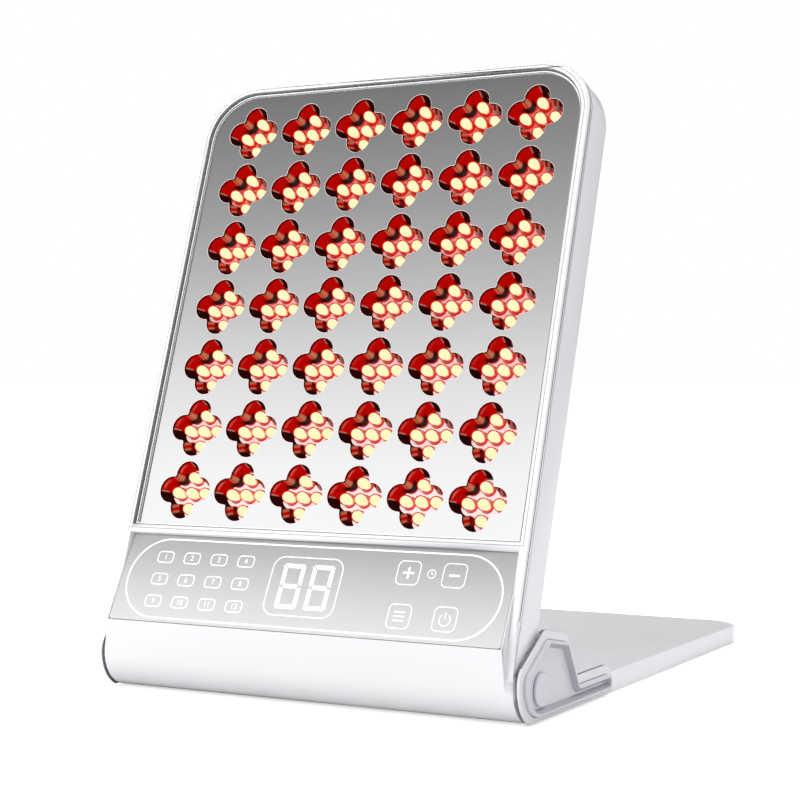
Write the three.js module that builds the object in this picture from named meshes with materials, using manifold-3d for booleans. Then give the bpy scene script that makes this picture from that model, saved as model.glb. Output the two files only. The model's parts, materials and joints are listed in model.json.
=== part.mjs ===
// Red light therapy panel: a tilting LED panel hinged between two ears on a flat base.
// Millimetres, +Z up. X runs across the panel and along the hinge, and the panel faces -Y.
// Inside the panel group, x runs across, y runs up the panel and z points out of its front,
// and the group's origin is the hinge axis.

import * as THREE from 'three';
import { mergeVertices } from 'three/addons/utils/BufferGeometryUtils.js';
import Module from 'manifold-3d';

const wasm = await Module();
wasm.setup();

// General sizes
const gap = 0.3;
const wall = 2.4;
const overrun = 4;
const weldDistance = 0.0005;
const leastRadius = 0.2;
const chordError = 0.25;
const roundedShare = 0.498;
const looseSteps = 2;
const fineSteps = 3;
const barrelSides = 32;
const roundSides = 20;
const smallSides = 8;

// Stance
const lean = THREE.MathUtils.degToRad(18.81);
const barrelRadius = 20;
const barrelLift = 0.5;
const barrelClearance = 1;
const axisHeight = barrelRadius + barrelLift;

// Panel body
const panelHalfWidth = 123;
const panelTop = 331.8;
const panelCornerRadius = 33;
const lipPlane = 23;
const slabBack = -4.7;
const rearRounding = 4;
const lipRounding = 1;
const lineInset = 1.4;
const lineWidth = 0.7;
const lineDepth = 0.35;
const partingInset = 4.1;
const partingPlane = lipPlane - partingInset;
const flangeBreak = 20;
const flangeTop = 26;
const filletRadius = 3;

// Window, trim ring and crossbar
const lipWidth = 5.1;
const windowHalfWidth = panelHalfWidth - lipWidth;
const windowTop = panelTop - lipWidth;
const windowBottom = 65.5;
const windowCornerRadius = panelCornerRadius - lipWidth;
const trimWidth = 1.1;
const trimDepth = 0.9;
const crossbarWidth = 4.7;
const crossbarDepth = 7.4;

// Reflector plate with its four-lobed cups
const plateSetback = 3.2;
const plateFace = lipPlane - plateSetback;
const plateDepth = 11.5;
const plateBack = plateFace - plateDepth;
const pitch = 36;
const columns = Math.floor((2 * windowHalfWidth) / pitch);
const rows = Math.floor((windowTop - windowBottom) / pitch);
const gridDrop = 1.7;
const gridCentre = (windowTop + windowBottom) / 2 - gridDrop;
const ledSpacing = 9;
const lobeRadius = 7.5;
const lobeSides = 4;
const postRadius = 3.5;

// LED strips
const ledRadius = 4.1;
const ledHeight = 8.6;
const ledSides = 5;
const stripTop = plateBack - gap;
const stripThickness = 1.6;
const stripHeight = 28;
const stripCornerRadius = 0.45;

// Heatsink plate
const heatsinkTop = stripTop - stripThickness - gap;
const heatsinkThickness = 2;
const heatsinkInset = 5.6;
const heatsinkPad = 4;
const heatsinkPadPitch = 2 * pitch;

// Screws that hold the front frame, and the inlet beside one of them
const frameScrewInset = 23;
const frameScrewAcross = panelHalfWidth - frameScrewInset;
const frameScrewHeight = 46;
const inletInset = 38;
const inletAcross = frameScrewAcross - inletInset;
const inletHeight = 40;

// Console
const flangeWidth = 4.2;
const wedgeHalfWidth = panelHalfWidth - flangeWidth;
const pocketRim = 0.6;
const pocketHalfWidth = wedgeHalfWidth - pocketRim;
const consoleThickness = 1.6;
const consoleCornerRadius = 1.5;
const consoleTop = windowBottom - crossbarWidth;
const seamHeight = 10;
const seamPlane = 28.1;
const seamLand = 0.5;
const trayDepth = consoleThickness + gap;
const trayThickness = 2;
const trayHalfWidth = panelHalfWidth - wall - gap;
const displayWidth = 54;
const displayHeight = 40;
const displayCentre = 26;
const displayDepth = 4.1;
const displayRim = 1.5;
const displayRecess = 0.5;
const touchScrewRoom = 10;
const touchWidth = 2 * (frameScrewAcross - touchScrewRoom);
const touchHeight = 42;
const boardThickness = 1.6;
const connectorWidth = 20;
const connectorHeight = 6;
const connectorRise = 6;
const connectorDepth = 3;
const spacerRadius = 2.5;
const spacerInset = 6;

// Driver board, between the left frame screw and the inlet
const driverScrewRoom = 14;
const driverInletRoom = 24;
const driverLeft = driverScrewRoom - frameScrewAcross;
const driverRight = inletAcross - driverInletRoom;
const driverWidth = driverRight - driverLeft;
const driverCentre = (driverLeft + driverRight) / 2;
const driverHeight = 34;
const driverBottom = 25;
const driverPlane = 3;
const coilRadius = 6;
const coilHeight = 7;
const capacitorRadius = 4;
const capacitorHeight = 9;
const chipSide = 9;
const chipHeight = 1.4;
const standoffRadius = 3;
const standoffInset = 5;

// Rear shell details
const ventLength = 66;
const ventWidth = 2.8;
const ventPitch = 9;
const ventRows = 5;
const ventColumnOffset = 58;
const ventDrop = 72;
const inletRadius = 4.6;
const inletFlangeRadius = 6.5;
const inletFlangeDepth = 2;
const inletBodyDepth = 11;
const socketRadius = 3.25;
const socketDepth = 9;
const socketPinRadius = 1.05;
const socketPinSink = 1.2;
const inletSides = 12;

// Screws
const screwRadius = 1.5;
const screwHeadRadius = 2.8;
const screwHeadHeight = 1.5;
const screwSink = 0.3;
const rearScrewLength = 9;
const bossRadius = 5;
const bossHeight = 1.6;

// Base
const baseSideReach = 3;
const baseHalfWidth = panelHalfWidth + baseSideReach;
const baseBack = 330;
const baseLift = 1;
const baseThickness = 10.3;
const baseTop = baseLift + baseThickness;
const baseCornerRadius = 25;
const baseRounding = 1.2;
const baseSkin = 2.2;
const ribThickness = 2;
const pocketColumns = 4;
const pocketRows = 5;
const coverThickness = 2;
const footRadius = 7;
const footChamfer = 0.6;
const footSink = 0.7;
const footInset = 20;
const baseScrewInset = 62;
const baseScrewLength = 4.6;
const baseScrewSink = 0.2;
const baseScrewHeadHeight = 1;

// Ears, side covers and plugs
const earClearance = 0.8;
const earInner = panelHalfWidth + earClearance;
const cheekThickness = 2.9;
const cheekRounding = 1.2;
const cheekBorder = 4.7;
const earRebate = baseHalfWidth - earInner + gap;
const coverSeat = 1.2;
const coverHeight = 3.7;
const coverFloor = 0.9;
const coverRounding = 0.9;
const beadWidth = 1.9;
const recessRun = 1.9;
const beadSetback = 3;
const beadCentreShift = 2.1;
const beadBend = barrelRadius - beadSetback;
const beadFront = beadCentreShift - beadBend;
const beadBottom = axisHeight - beadBend;
const beadShoulderRise = 4;
const beadShoulderRadius = 6.8;
const beadPeakRun = 27.4;
const beadPeakRise = 20.1;
const beadPeakRadius = 3;
const beadCrestRun = 50.9;
const beadCrestRise = 15.8;
const beadCrestRadius = 2.5;
const armRootRun = 65.1;
const armRootRadius = 3;
const armEndRun = 109.2;
const armEndAcross = beadFront + armEndRun;
const armDepth = 8.5;
const armEndRadius = 4.2;
const plugMargin = 4.6;
const plugRadius = beadBend - beadWidth - recessRun - plugMargin;
const plugThickness = 1.3;
const plugChamfer = 0.4;
const plugShift = 3.7;
const plugDrop = 4;
const plugAcross = beadCentreShift + plugShift;
const plugHeight = axisHeight - plugDrop;

// Hinge
const earBossRadius = 15;
const earBossLength = 10.8;
const bossClearance = 0.6;
const pinRadius = 4;
const pinHeadRadius = 7;
const pinHeadThickness = 2.1;
const pinReach = 26;
const pinChamfer = 0.5;
const pinRunning = 0.1;
const bushRadius = 6.5;
const blockLength = 16;

// Colours, roughness and metalness of the finishes
const whiteGloss = new THREE.MeshStandardMaterial({ color: 0xf4f4f6, roughness: 0.25 });
const whiteSatin = new THREE.MeshStandardMaterial({ color: 0xe9e9ec, roughness: 0.45 });
const consoleGrey = new THREE.MeshStandardMaterial({ color: 0xc9c9c9, roughness: 0.2 });
const mirrorMetal = new THREE.MeshStandardMaterial({ color: 0xd8d8da, roughness: 0.08, metalness: 1 });
const trimMetal = new THREE.MeshStandardMaterial({ color: 0xdedede, roughness: 0.25, metalness: 1 });
const boardWhite = new THREE.MeshStandardMaterial({ color: 0xf2ece6, roughness: 0.5 });
const boardGreen = new THREE.MeshStandardMaterial({ color: 0x1f5a3a, roughness: 0.5 });
const aluminium = new THREE.MeshStandardMaterial({ color: 0xb9bcc0, roughness: 0.4, metalness: 1 });
const steel = new THREE.MeshStandardMaterial({ color: 0x9a9da1, roughness: 0.3, metalness: 1 });
const blackPlastic = new THREE.MeshStandardMaterial({ color: 0x17181a, roughness: 0.5 });
const greyRubber = new THREE.MeshStandardMaterial({ color: 0x8f9194, roughness: 0.9 });

// A closed solid from a geometry whose shared corners are merged.
function solid(geometry) {
  const bare = geometry.clone();
  bare.deleteAttribute('normal');
  bare.deleteAttribute('uv');
  const merged = mergeVertices(bare, weldDistance);
  const vertProperties = new Float32Array(merged.attributes.position.array);
  const triVerts = new Uint32Array(merged.index.array);
  return new wasm.Manifold(new wasm.Mesh({ numProp: 3, vertProperties, triVerts }));
}

function geometryOf(body) {
  const mesh = body.getMesh();
  const geometry = new THREE.BufferGeometry();
  geometry.setAttribute('position', new THREE.BufferAttribute(mesh.vertProperties, 3));
  geometry.setIndex(new THREE.BufferAttribute(mesh.triVerts, 1));
  geometry.computeVertexNormals();
  return geometry;
}

function joined(solids) {
  return solids.reduce((sum, next) => sum.add(next));
}

function addPiece(parent, name, body, material) {
  const mesh = new THREE.Mesh(geometryOf(body), material);
  mesh.name = name;
  parent.add(mesh);
  return mesh;
}

// Number of straight steps that follow an arc to within the chord error.
function arcSteps(radius, turn) {
  return Math.max(2, Math.round(turn / Math.sqrt((8 * chordError) / radius)));
}

// Outline from corners [x, y, radius], anticlockwise, with every side moved outwards by grow.
// The number of points doesn't depend on grow, so two such outlines can be joined by a skin.
function roundedOutline(corners, grow = 0) {
  const places = corners.map(([x, y]) => new THREE.Vector2(x, y));
  const count = corners.length;
  const points = [];
  corners.forEach(([, , radius], index) => {
    const place = places[index];
    const into = place.clone().sub(places[(index + count - 1) % count]).normalize();
    const out = places[(index + 1) % count].clone().sub(place).normalize();
    const turn = Math.atan2(into.cross(out), into.dot(out));
    const shift = new THREE.Vector2(into.y + out.y, -into.x - out.x);
    const corner = shift.multiplyScalar(grow / (1 + into.dot(out))).add(place);
    if (radius === 0) {
      points.push(corner);
      return;
    }
    const bend = Math.max(radius + grow * Math.sign(turn), leastRadius);
    const start = corner.clone().addScaledVector(into, -bend * Math.tan(Math.abs(turn) / 2));
    const side = new THREE.Vector2(-into.y, into.x).multiplyScalar(Math.sign(turn));
    const centre = start.clone().addScaledVector(side, bend);
    const steps = arcSteps(radius, Math.abs(turn));
    for (let step = 0; step <= steps; step += 1) {
      points.push(start.clone().rotateAround(centre, (turn * step) / steps));
    }
  });
  return points;
}

function rectangle(halfWidth, low, high, radius = 0) {
  return [
    [-halfWidth, low, radius],
    [halfWidth, low, radius],
    [halfWidth, high, radius],
    [-halfWidth, high, radius],
  ];
}

// Skin through outlines of equal count, given as [outline, height], closed at both ends.
function skinned(layers) {
  const count = layers[0][0].length;
  const positions = layers.flatMap(([outline, height]) => outline.flatMap(({ x, y }) => [x, y, height]));
  const index = [];
  for (let layer = 0; layer < layers.length - 1; layer += 1) {
    for (let step = 0; step < count; step += 1) {
      const low = layer * count + step;
      const lowNext = layer * count + ((step + 1) % count);
      index.push(low, lowNext, lowNext + count, low, lowNext + count, low + count);
    }
  }
  const last = (layers.length - 1) * count;
  THREE.ShapeUtils.triangulateShape(layers[0][0], []).forEach(([a, b, c]) => index.push(a, c, b));
  THREE.ShapeUtils.triangulateShape(layers.at(-1)[0], []).forEach(([a, b, c]) => {
    index.push(last + a, last + b, last + c);
  });
  const geometry = new THREE.BufferGeometry();
  geometry.setAttribute('position', new THREE.Float32BufferAttribute(positions, 3));
  geometry.setIndex(index);
  return geometry;
}

function prism(outline, from, to, holes = []) {
  const shape = new THREE.Shape(outline);
  shape.holes = holes.map((hole) => new THREE.Path(hole));
  const geometry = new THREE.ExtrudeGeometry(shape, { depth: to - from, bevelEnabled: false });
  return geometry.translate(0, 0, from);
}

// Turns a geometry drawn in x, y and z into one drawn in y and z and standing along x.
const acrossBasis = new THREE.Matrix4().makeBasis(
  new THREE.Vector3(0, 1, 0),
  new THREE.Vector3(0, 0, 1),
  new THREE.Vector3(1, 0, 0),
);

function across(geometry) {
  return geometry.applyMatrix4(acrossBasis);
}

function block(halfWidth, low, high, back, front) {
  return solid(prism(roundedOutline(rectangle(halfWidth, low, high)), back, front));
}

// Cylinder along z from one height to another.
function rod(radius, from, to, x, y, sides = smallSides) {
  const geometry = new THREE.CylinderGeometry(radius, radius, to - from, sides);
  return solid(geometry.rotateX(Math.PI / 2).translate(x, y, (from + to) / 2));
}

// Cylinder along x, between two places on it.
function axle(radius, from, to, sides = roundSides, y = 0, z = 0) {
  const geometry = new THREE.CylinderGeometry(radius, radius, Math.abs(to - from), sides);
  return solid(geometry.rotateZ(Math.PI / 2).translate((from + to) / 2, y, z));
}

// Revolved solid about z from a list of [radius, height], starting and ending on the axis.
function turned(profile, sides = smallSides) {
  const points = profile.map(([radius, height]) => new THREE.Vector2(radius, height));
  return new THREE.LatheGeometry(points, sides).rotateX(Math.PI / 2);
}

// Where the line from an outside point touches the barrel.
function barrelTangent(point) {
  const angle = point.angle() + Math.acos(barrelRadius / point.length());
  return [barrelRadius * Math.cos(angle), barrelRadius * Math.sin(angle), 0];
}

// The console plane runs from the seam above the nose up to the crossbar.
const seam = new THREE.Vector2(seamHeight, seamPlane);
const consoleRun = new THREE.Vector2(consoleTop, plateFace).sub(seam);
const consoleLength = consoleRun.length();
const consoleTilt = Math.atan2(consoleRun.y, consoleRun.x);
const consoleFrame = new THREE.Matrix4().makeRotationX(consoleTilt).setPosition(0, seamHeight, seamPlane);

function onConsole(geometry) {
  return geometry.applyMatrix4(consoleFrame);
}

function panelCorners(bottom) {
  return [
    [-panelHalfWidth, bottom, 0],
    [panelHalfWidth, bottom, 0],
    [panelHalfWidth, panelTop, panelCornerRadius],
    [-panelHalfWidth, panelTop, panelCornerRadius],
  ];
}

function windowCorners(bottomRadius = 0) {
  return [
    [-windowHalfWidth, windowBottom, bottomRadius],
    [windowHalfWidth, windowBottom, bottomRadius],
    [windowHalfWidth, windowTop, windowCornerRadius],
    [-windowHalfWidth, windowTop, windowCornerRadius],
  ];
}

// Sections of an edge rounded by a quarter circle, as [inset, drop] pairs from side to face.
function quarterRound(radius, steps) {
  return Array.from({ length: steps + 1 }, (unused, step) => {
    const angle = (Math.PI / 2) * (step / steps);
    return [radius * (1 - Math.cos(angle)), radius * (1 - Math.sin(angle))];
  });
}

// Side profiles, as corners in (up the panel, out of the front).
function flangeProfile() {
  const filletCentre = new THREE.Vector2(0, slabBack - filletRadius);
  filletCentre.x = Math.sqrt((barrelRadius + filletRadius) ** 2 - filletCentre.y ** 2);
  const start = filletCentre.clone().negate().angle();
  const fillet = Array.from({ length: fineSteps + 1 }, (unused, step) => {
    const angle = start + ((Math.PI / 2 - start) * step) / fineSteps;
    return [
      filletCentre.x + filletRadius * Math.cos(angle),
      filletCentre.y + filletRadius * Math.sin(angle),
      0,
    ];
  });
  return [
    [flangeTop, lipPlane, 0],
    [flangeBreak, lipPlane, 0],
    barrelTangent(new THREE.Vector2(flangeBreak, lipPlane)),
    [0, 0, 0],
    ...fillet,
    [flangeTop, slabBack, 0],
  ];
}

function flangeHollowProfile() {
  return [
    [flangeTop, lipPlane, 0],
    [flangeBreak, lipPlane, 0],
    barrelTangent(new THREE.Vector2(flangeBreak, lipPlane)),
    [0, 0, 0],
    [flangeBreak, slabBack, 0],
    [flangeTop, slabBack, 0],
  ];
}

function wedgeProfile() {
  return [
    [seamHeight, seamPlane, 0],
    barrelTangent(seam),
    [0, 0, 0],
    [consoleTop, 0, 0],
    [consoleTop, plateFace, 0],
  ];
}

function outerBody() {
  const corners = panelCorners(flangeBreak);
  const lineTop = lipPlane - lineInset;
  const rear = quarterRound(rearRounding, fineSteps).reverse();
  const front = quarterRound(lipRounding, looseSteps);
  const layers = [
    ...rear.map(([inset, drop]) => [-inset, slabBack + drop]),
    [0, lineTop - lineWidth],
    [-lineDepth, lineTop - lineWidth],
    [-lineDepth, lineTop],
    [0, lineTop],
    ...front.map(([inset, drop]) => [-inset, lipPlane - drop]),
  ];
  const slab = solid(skinned(layers.map(([grow, height]) => [roundedOutline(corners, grow), height])));
  const flange = solid(across(prism(roundedOutline(flangeProfile()), -panelHalfWidth, panelHalfWidth)));
  const wedge = solid(across(prism(roundedOutline(wedgeProfile()), -wedgeHalfWidth, wedgeHalfWidth)));
  const barrel = axle(barrelRadius, -panelHalfWidth, panelHalfWidth, barrelSides);
  return joined([slab, flange, wedge, barrel]);
}

function innerBody() {
  const slabBottom = flangeBreak + wall;
  const slabOutline = roundedOutline(panelCorners(slabBottom), -wall);
  const slab = solid(prism(slabOutline, slabBack + wall, lipPlane - wall));
  const flangeReach = panelHalfWidth - wall;
  const flangeOutline = roundedOutline(flangeHollowProfile(), -wall);
  const flange = solid(across(prism(flangeOutline, -flangeReach, flangeReach)));
  const wedgeReach = wedgeHalfWidth - wall;
  const wedge = solid(across(prism(roundedOutline(wedgeProfile(), -wall), -wedgeReach, wedgeReach)));
  const barrel = axle(barrelRadius - wall, -flangeReach, flangeReach);
  return joined([slab, flange, wedge, barrel]);
}

// Places of the screws on the back, as [x, y].
const postPlaces = [-1, 1].flatMap((side) => [-1, 1].map((end) => [
  side * pitch * (columns / 2 - 1),
  gridCentre + end * pitch * (rows / 2 - 1),
]));
const frameScrewPlaces = [-1, 1].map((side) => [side * frameScrewAcross, frameScrewHeight]);
const rearScrewPlaces = [...postPlaces, ...frameScrewPlaces];
const rearFace = slabBack + wall;
const bossTop = rearFace + bossHeight;
const screwHole = screwRadius + gap;

function screwBlank(headRadius, headHeight, length) {
  return solid(turned([
    [0, 0],
    [headRadius, 0],
    [headRadius, headHeight],
    [screwRadius, headHeight],
    [screwRadius, headHeight + length],
    [0, headHeight + length],
  ]));
}

function frontFrame(outer, inner) {
  const reach = panelTop + overrun;
  const lipZone = block(reach, -gap / 2, reach, partingPlane + gap / 2, reach);
  const noseZone = block(reach, -reach, -gap / 2, -reach, reach);
  const skin = outer.subtract(inner).intersect(lipZone.add(noseZone));
  const trayBlock = solid(onConsole(prism(
    roundedOutline(rectangle(trayHalfWidth, 0, consoleLength + crossbarWidth / 2)),
    -trayDepth - trayThickness,
    crossbarDepth,
  ))).intersect(outer);
  const crossbar = block(trayHalfWidth, consoleTop, windowBottom, lipPlane - crossbarDepth, lipPlane);
  const consoleBox = prism(
    roundedOutline(rectangle(pocketHalfWidth, seamLand, consoleLength + overrun)),
    -trayDepth,
    seamPlane,
  );
  const pocket = solid(onConsole(consoleBox)).intersect(block(reach, 0, consoleTop, 0, reach));
  const windowCut = solid(prism(roundedOutline(windowCorners()), partingPlane - overrun, reach));
  const displayCut = solid(onConsole(prism(
    roundedOutline(rectangle(
      displayWidth / 2 + gap,
      displayCentre - displayHeight / 2 - gap,
      displayCentre + displayHeight / 2 + gap,
    )),
    -trayDepth - trayThickness - overrun,
    0,
  )));
  const posts = frameScrewPlaces.map(([x, y]) => rod(postRadius, bossTop + gap, plateFace, x, y));
  const spacers = spacerPlaces().map(([x, y]) => solid(onConsole(geometryOf(
    rod(spacerRadius, -touchFace() + gap, -trayDepth - trayThickness / 2, x, y),
  ))));
  const bores = frameScrewPlaces.map(([x, y]) => rod(
    screwHole,
    bossTop - overrun,
    partingPlane - overrun,
    x,
    y,
  ));
  const bossHoles = [-1, 1].map((side) => axle(
    earBossRadius + bossClearance,
    side * (panelHalfWidth - wall - overrun / 2),
    side * (panelHalfWidth + overrun),
  ));
  return joined([skin, trayBlock, crossbar])
    .subtract(joined([pocket, windowCut, displayCut]))
    .add(joined([...posts, ...spacers]))
    .subtract(joined([...bores, ...bossHoles]));
}

function touchFace() {
  return trayDepth + displayDepth + gap;
}

function spacerPlaces() {
  const x = touchWidth / 2 - spacerInset;
  const y = touchHeight / 2 - spacerInset;
  return [[-x, -y], [x, -y], [-x, y], [x, y]].map(([place, height]) => [place, displayCentre + height]);
}

function ventOutline(x, y) {
  const corners = rectangle(ventLength / 2, y - ventWidth / 2, y + ventWidth / 2, ventWidth * roundedShare);
  return roundedOutline(corners.map(([place, height, radius]) => [x + place, height, radius]));
}

function rearShell(outer, inner) {
  const reach = panelTop + overrun;
  const rearZone = block(reach, gap / 2, reach, -reach, partingPlane - gap / 2);
  const mouth = block(panelHalfWidth - wall, 0, flangeTop, 0, reach);
  const skin = outer.subtract(inner).subtract(mouth).intersect(rearZone);
  const bosses = rearScrewPlaces.map(([x, y]) => rod(bossRadius, rearFace - wall / 2, bossTop, x, y));
  const pads = [-1, 0, 1].map((step) => rod(
    heatsinkPad,
    rearFace - wall / 2,
    heatsinkTop - heatsinkThickness - gap,
    0,
    gridCentre + step * heatsinkPadPitch,
  ));
  const standoffs = driverPlaces().map(([x, y]) => rod(
    standoffRadius,
    rearFace - wall / 2,
    driverPlane - gap,
    x,
    y,
  ));
  const counterbores = rearScrewPlaces.map(([x, y]) => rod(
    screwHeadRadius + gap,
    slabBack - overrun,
    slabBack + screwSink + screwHeadHeight + gap,
    x,
    y,
  ));
  const holes = rearScrewPlaces.map(([x, y]) => rod(screwHole, slabBack, bossTop + overrun, x, y));
  const vents = [-1, 1].flatMap((side) => Array.from({ length: ventRows }, (unused, row) => solid(prism(
    ventOutline(side * ventColumnOffset, panelTop - ventDrop - row * ventPitch),
    slabBack - overrun,
    rearFace + overrun / 2,
  ))));
  const inletHole = rod(
    inletRadius + gap,
    slabBack - overrun,
    rearFace + overrun,
    inletAcross,
    inletHeight,
    inletSides,
  );
  const bossHoles = [-1, 1].map((side) => axle(
    earBossRadius + bossClearance,
    side * (panelHalfWidth - wall - overrun / 2),
    side * (panelHalfWidth + overrun),
  ));
  return joined([skin, ...bosses, ...pads, ...standoffs])
    .subtract(joined([...counterbores, ...holes, ...vents, inletHole, ...bossHoles]));
}

function trimRing() {
  const outer = roundedOutline(windowCorners(), -gap);
  const inner = roundedOutline(windowCorners(), -gap - trimWidth);
  const back = plateFace + gap;
  return solid(prism(outer, back, back + trimDepth, [inner]));
}

// Outline of one cup: four round lobes, each about one LED of the cross.
function cupOutline(x, y) {
  const notch = (ledSpacing + Math.sqrt(2 * lobeRadius ** 2 - ledSpacing ** 2)) / 2;
  const sweep = Math.atan2(notch, notch - ledSpacing);
  const points = [];
  for (let lobe = 0; lobe < 4; lobe += 1) {
    const facing = (lobe * Math.PI) / 2;
    const centre = new THREE.Vector2(ledSpacing, 0).rotateAround(new THREE.Vector2(), facing);
    for (let step = 0; step < lobeSides; step += 1) {
      const angle = facing - sweep + (2 * sweep * step) / lobeSides;
      points.push(new THREE.Vector2(
        x + centre.x + lobeRadius * Math.cos(angle),
        y + centre.y + lobeRadius * Math.sin(angle),
      ));
    }
  }
  return points;
}

function cupPlaces(row) {
  return Array.from({ length: columns }, (unused, column) => [
    (column - (columns - 1) / 2) * pitch,
    gridCentre + ((rows - 1) / 2 - row) * pitch,
  ]);
}

function reflectorPlate() {
  const cups = Array.from({ length: rows }, (unused, row) => cupPlaces(row)).flat();
  const plate = solid(prism(roundedOutline(windowCorners(gap), -gap), plateBack, plateFace));
  const low = plateBack - overrun;
  const high = plateFace + overrun;
  const holes = cups.map(([x, y]) => solid(prism(cupOutline(x, y), low, high)));
  const middle = plateBack + plateDepth / 2;
  const posts = postPlaces.map(([x, y]) => rod(postRadius, bossTop + gap, middle, x, y));
  const bores = postPlaces.map(([x, y]) => rod(screwHole, bossTop - overrun, plateBack, x, y));
  return joined([plate, ...posts]).subtract(joined([...holes, ...bores]));
}

const ledStep = [[0, 0], [1, 0], [-1, 0], [0, 1], [0, -1]];

function ledStrip(row) {
  const places = cupPlaces(row);
  const centre = places[0][1];
  const low = centre - stripHeight / 2;
  const outline = rectangle((columns * pitch) / 2, low, low + stripHeight, stripCornerRadius);
  const board = solid(prism(roundedOutline(outline), stripTop - stripThickness, stripTop));
  const dome = turned([
    [0, -stripThickness / 2],
    [ledRadius, -stripThickness / 2],
    [0, ledHeight],
  ], ledSides);
  const leds = places.flatMap(([x, y]) => ledStep.map(([stepX, stepY]) => solid(
    dome.clone().translate(x + stepX * ledSpacing, y + stepY * ledSpacing, stripTop),
  )));
  return joined([board, ...leds]);
}

function heatsinkPlate() {
  const top = heatsinkTop;
  const outline = roundedOutline(windowCorners(gap), -heatsinkInset);
  const holes = postPlaces.map(([x, y]) => roundHole(postRadius + gap, x, y));
  return solid(prism(outline, top - heatsinkThickness, top, holes));
}

function roundHole(radius, x, y) {
  return Array.from({ length: smallSides }, (unused, step) => {
    const angle = (2 * Math.PI * step) / smallSides;
    return new THREE.Vector2(x + radius * Math.cos(angle), y + radius * Math.sin(angle));
  });
}

function consolePanel() {
  const halfWidth = pocketHalfWidth - gap;
  const high = consoleLength - gap;
  const outline = roundedOutline(rectangle(halfWidth, seamLand + gap, high, consoleCornerRadius));
  return solid(prism(outline, -consoleThickness, 0));
}

function displayModule() {
  const low = displayCentre - displayHeight / 2;
  const high = displayCentre + displayHeight / 2;
  const body = solid(prism(
    roundedOutline(rectangle(displayWidth / 2, low, high, displayRim)),
    -trayDepth - displayDepth,
    -trayDepth,
  ));
  const face = solid(prism(
    roundedOutline(rectangle(displayWidth / 2 - displayRim, low + displayRim, high - displayRim)),
    -trayDepth - displayRecess,
    0,
  ));
  return body.subtract(face);
}

function touchBoard() {
  const face = -touchFace();
  const low = displayCentre - touchHeight / 2;
  const high = displayCentre + touchHeight / 2;
  const outline = roundedOutline(rectangle(touchWidth / 2, low, high, displayRim));
  const board = solid(prism(outline, face - boardThickness, face));
  const connector = block(
    connectorWidth / 2,
    low + connectorRise,
    low + connectorRise + connectorHeight,
    face - boardThickness - connectorDepth,
    face - boardThickness / 2,
  );
  return board.add(connector);
}

function driverPlaces() {
  const x = driverWidth / 2 - standoffInset;
  return [-x, x].flatMap((place) => [standoffInset, driverHeight - standoffInset].map((height) => [
    driverCentre + place,
    driverBottom + height,
  ]));
}

// Parts in a row on the driver board, from left to right, as [half width, height].
const capacitor = [capacitorRadius, capacitorHeight];
const coil = [coilRadius, coilHeight];
const chip = [chipSide / 2, chipHeight];
const driverParts = [capacitor, coil, coil, coil, capacitor, chip];

function driverBoard() {
  const top = driverPlane + boardThickness;
  const seat = driverPlane + boardThickness / 2;
  const middle = driverBottom + driverHeight / 2;
  const corners = rectangle(driverWidth / 2, driverBottom, driverBottom + driverHeight, displayRim);
  const board = solid(prism(roundedOutline(corners), driverPlane, top).translate(driverCentre, 0, 0));
  const filled = driverParts.reduce((sum, [reach]) => sum + 2 * reach, 0);
  const room = (driverWidth - filled) / (driverParts.length + 1);
  let x = driverLeft;
  const parts = driverParts.map((part) => {
    const [reach, height] = part;
    x += room + 2 * reach;
    const centre = x - reach;
    return part === chip
      ? block(reach, middle - reach, middle + reach, seat, top + height).translate([centre, 0, 0])
      : rod(reach, seat, top + height, centre, middle);
  });
  return joined([board, ...parts]);
}

function dcInlet() {
  const profile = [
    [0, socketPinSink],
    [socketPinRadius, socketPinSink],
    [socketPinRadius, socketDepth],
    [socketRadius, socketDepth],
    [socketRadius, 0],
    [inletRadius, 0],
    [inletRadius, wall + gap],
    [inletFlangeRadius, wall + gap],
    [inletFlangeRadius, wall + gap + inletFlangeDepth],
    [inletRadius, wall + gap + inletFlangeDepth],
    [inletRadius, inletBodyDepth],
    [0, inletBodyDepth],
  ];
  return solid(turned(profile, inletSides).translate(inletAcross, inletHeight, slabBack));
}

// Hinge parts on one side, where side is -1 or 1 along x.
const bossEnd = earInner - earBossLength;
const blockEnd = bossEnd - gap;

function hingeBlock(side) {
  const start = blockEnd - blockLength;
  const bore = axle(bushRadius + gap, side * (start - overrun), side * (blockEnd + overrun));
  const body = axle(barrelRadius - wall - gap, side * start, side * blockEnd);
  return body.subtract(bore);
}

function hingeBush(side) {
  const start = blockEnd - blockLength;
  const body = axle(bushRadius, side * start, side * blockEnd);
  const bore = axle(pinRadius + pinRunning, side * (start - overrun), side * (blockEnd + overrun));
  return body.subtract(bore);
}

function hingePin(side) {
  const headEnd = earInner + coverSeat - gap;
  const profile = [
    [0, 0],
    [pinHeadRadius, 0],
    [pinHeadRadius, pinHeadThickness],
    [pinRadius, pinHeadThickness],
    [pinRadius, pinReach - pinChamfer],
    [pinRadius - pinChamfer, pinReach],
    [0, pinReach],
  ];
  const pin = turned(profile, roundSides).rotateY((-side * Math.PI) / 2);
  return solid(pin.translate(side * headEnd, 0, 0));
}

// Corners of the side cover in (y, z) from the foot of the base, before the cheek's border is added.
function earCorners() {
  return [
    [beadFront, beadBottom, beadBend],
    [armEndAcross, beadBottom, armEndRadius],
    [armEndAcross, beadBottom + armDepth, armEndRadius],
    [beadFront + armRootRun, beadBottom + armDepth, armRootRadius],
    [beadFront + beadCrestRun, axisHeight + beadCrestRise, beadCrestRadius],
    [beadFront + beadPeakRun, axisHeight + beadPeakRise, beadPeakRadius],
    [beadFront, axisHeight + beadShoulderRise, beadShoulderRadius],
  ];
}

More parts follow.
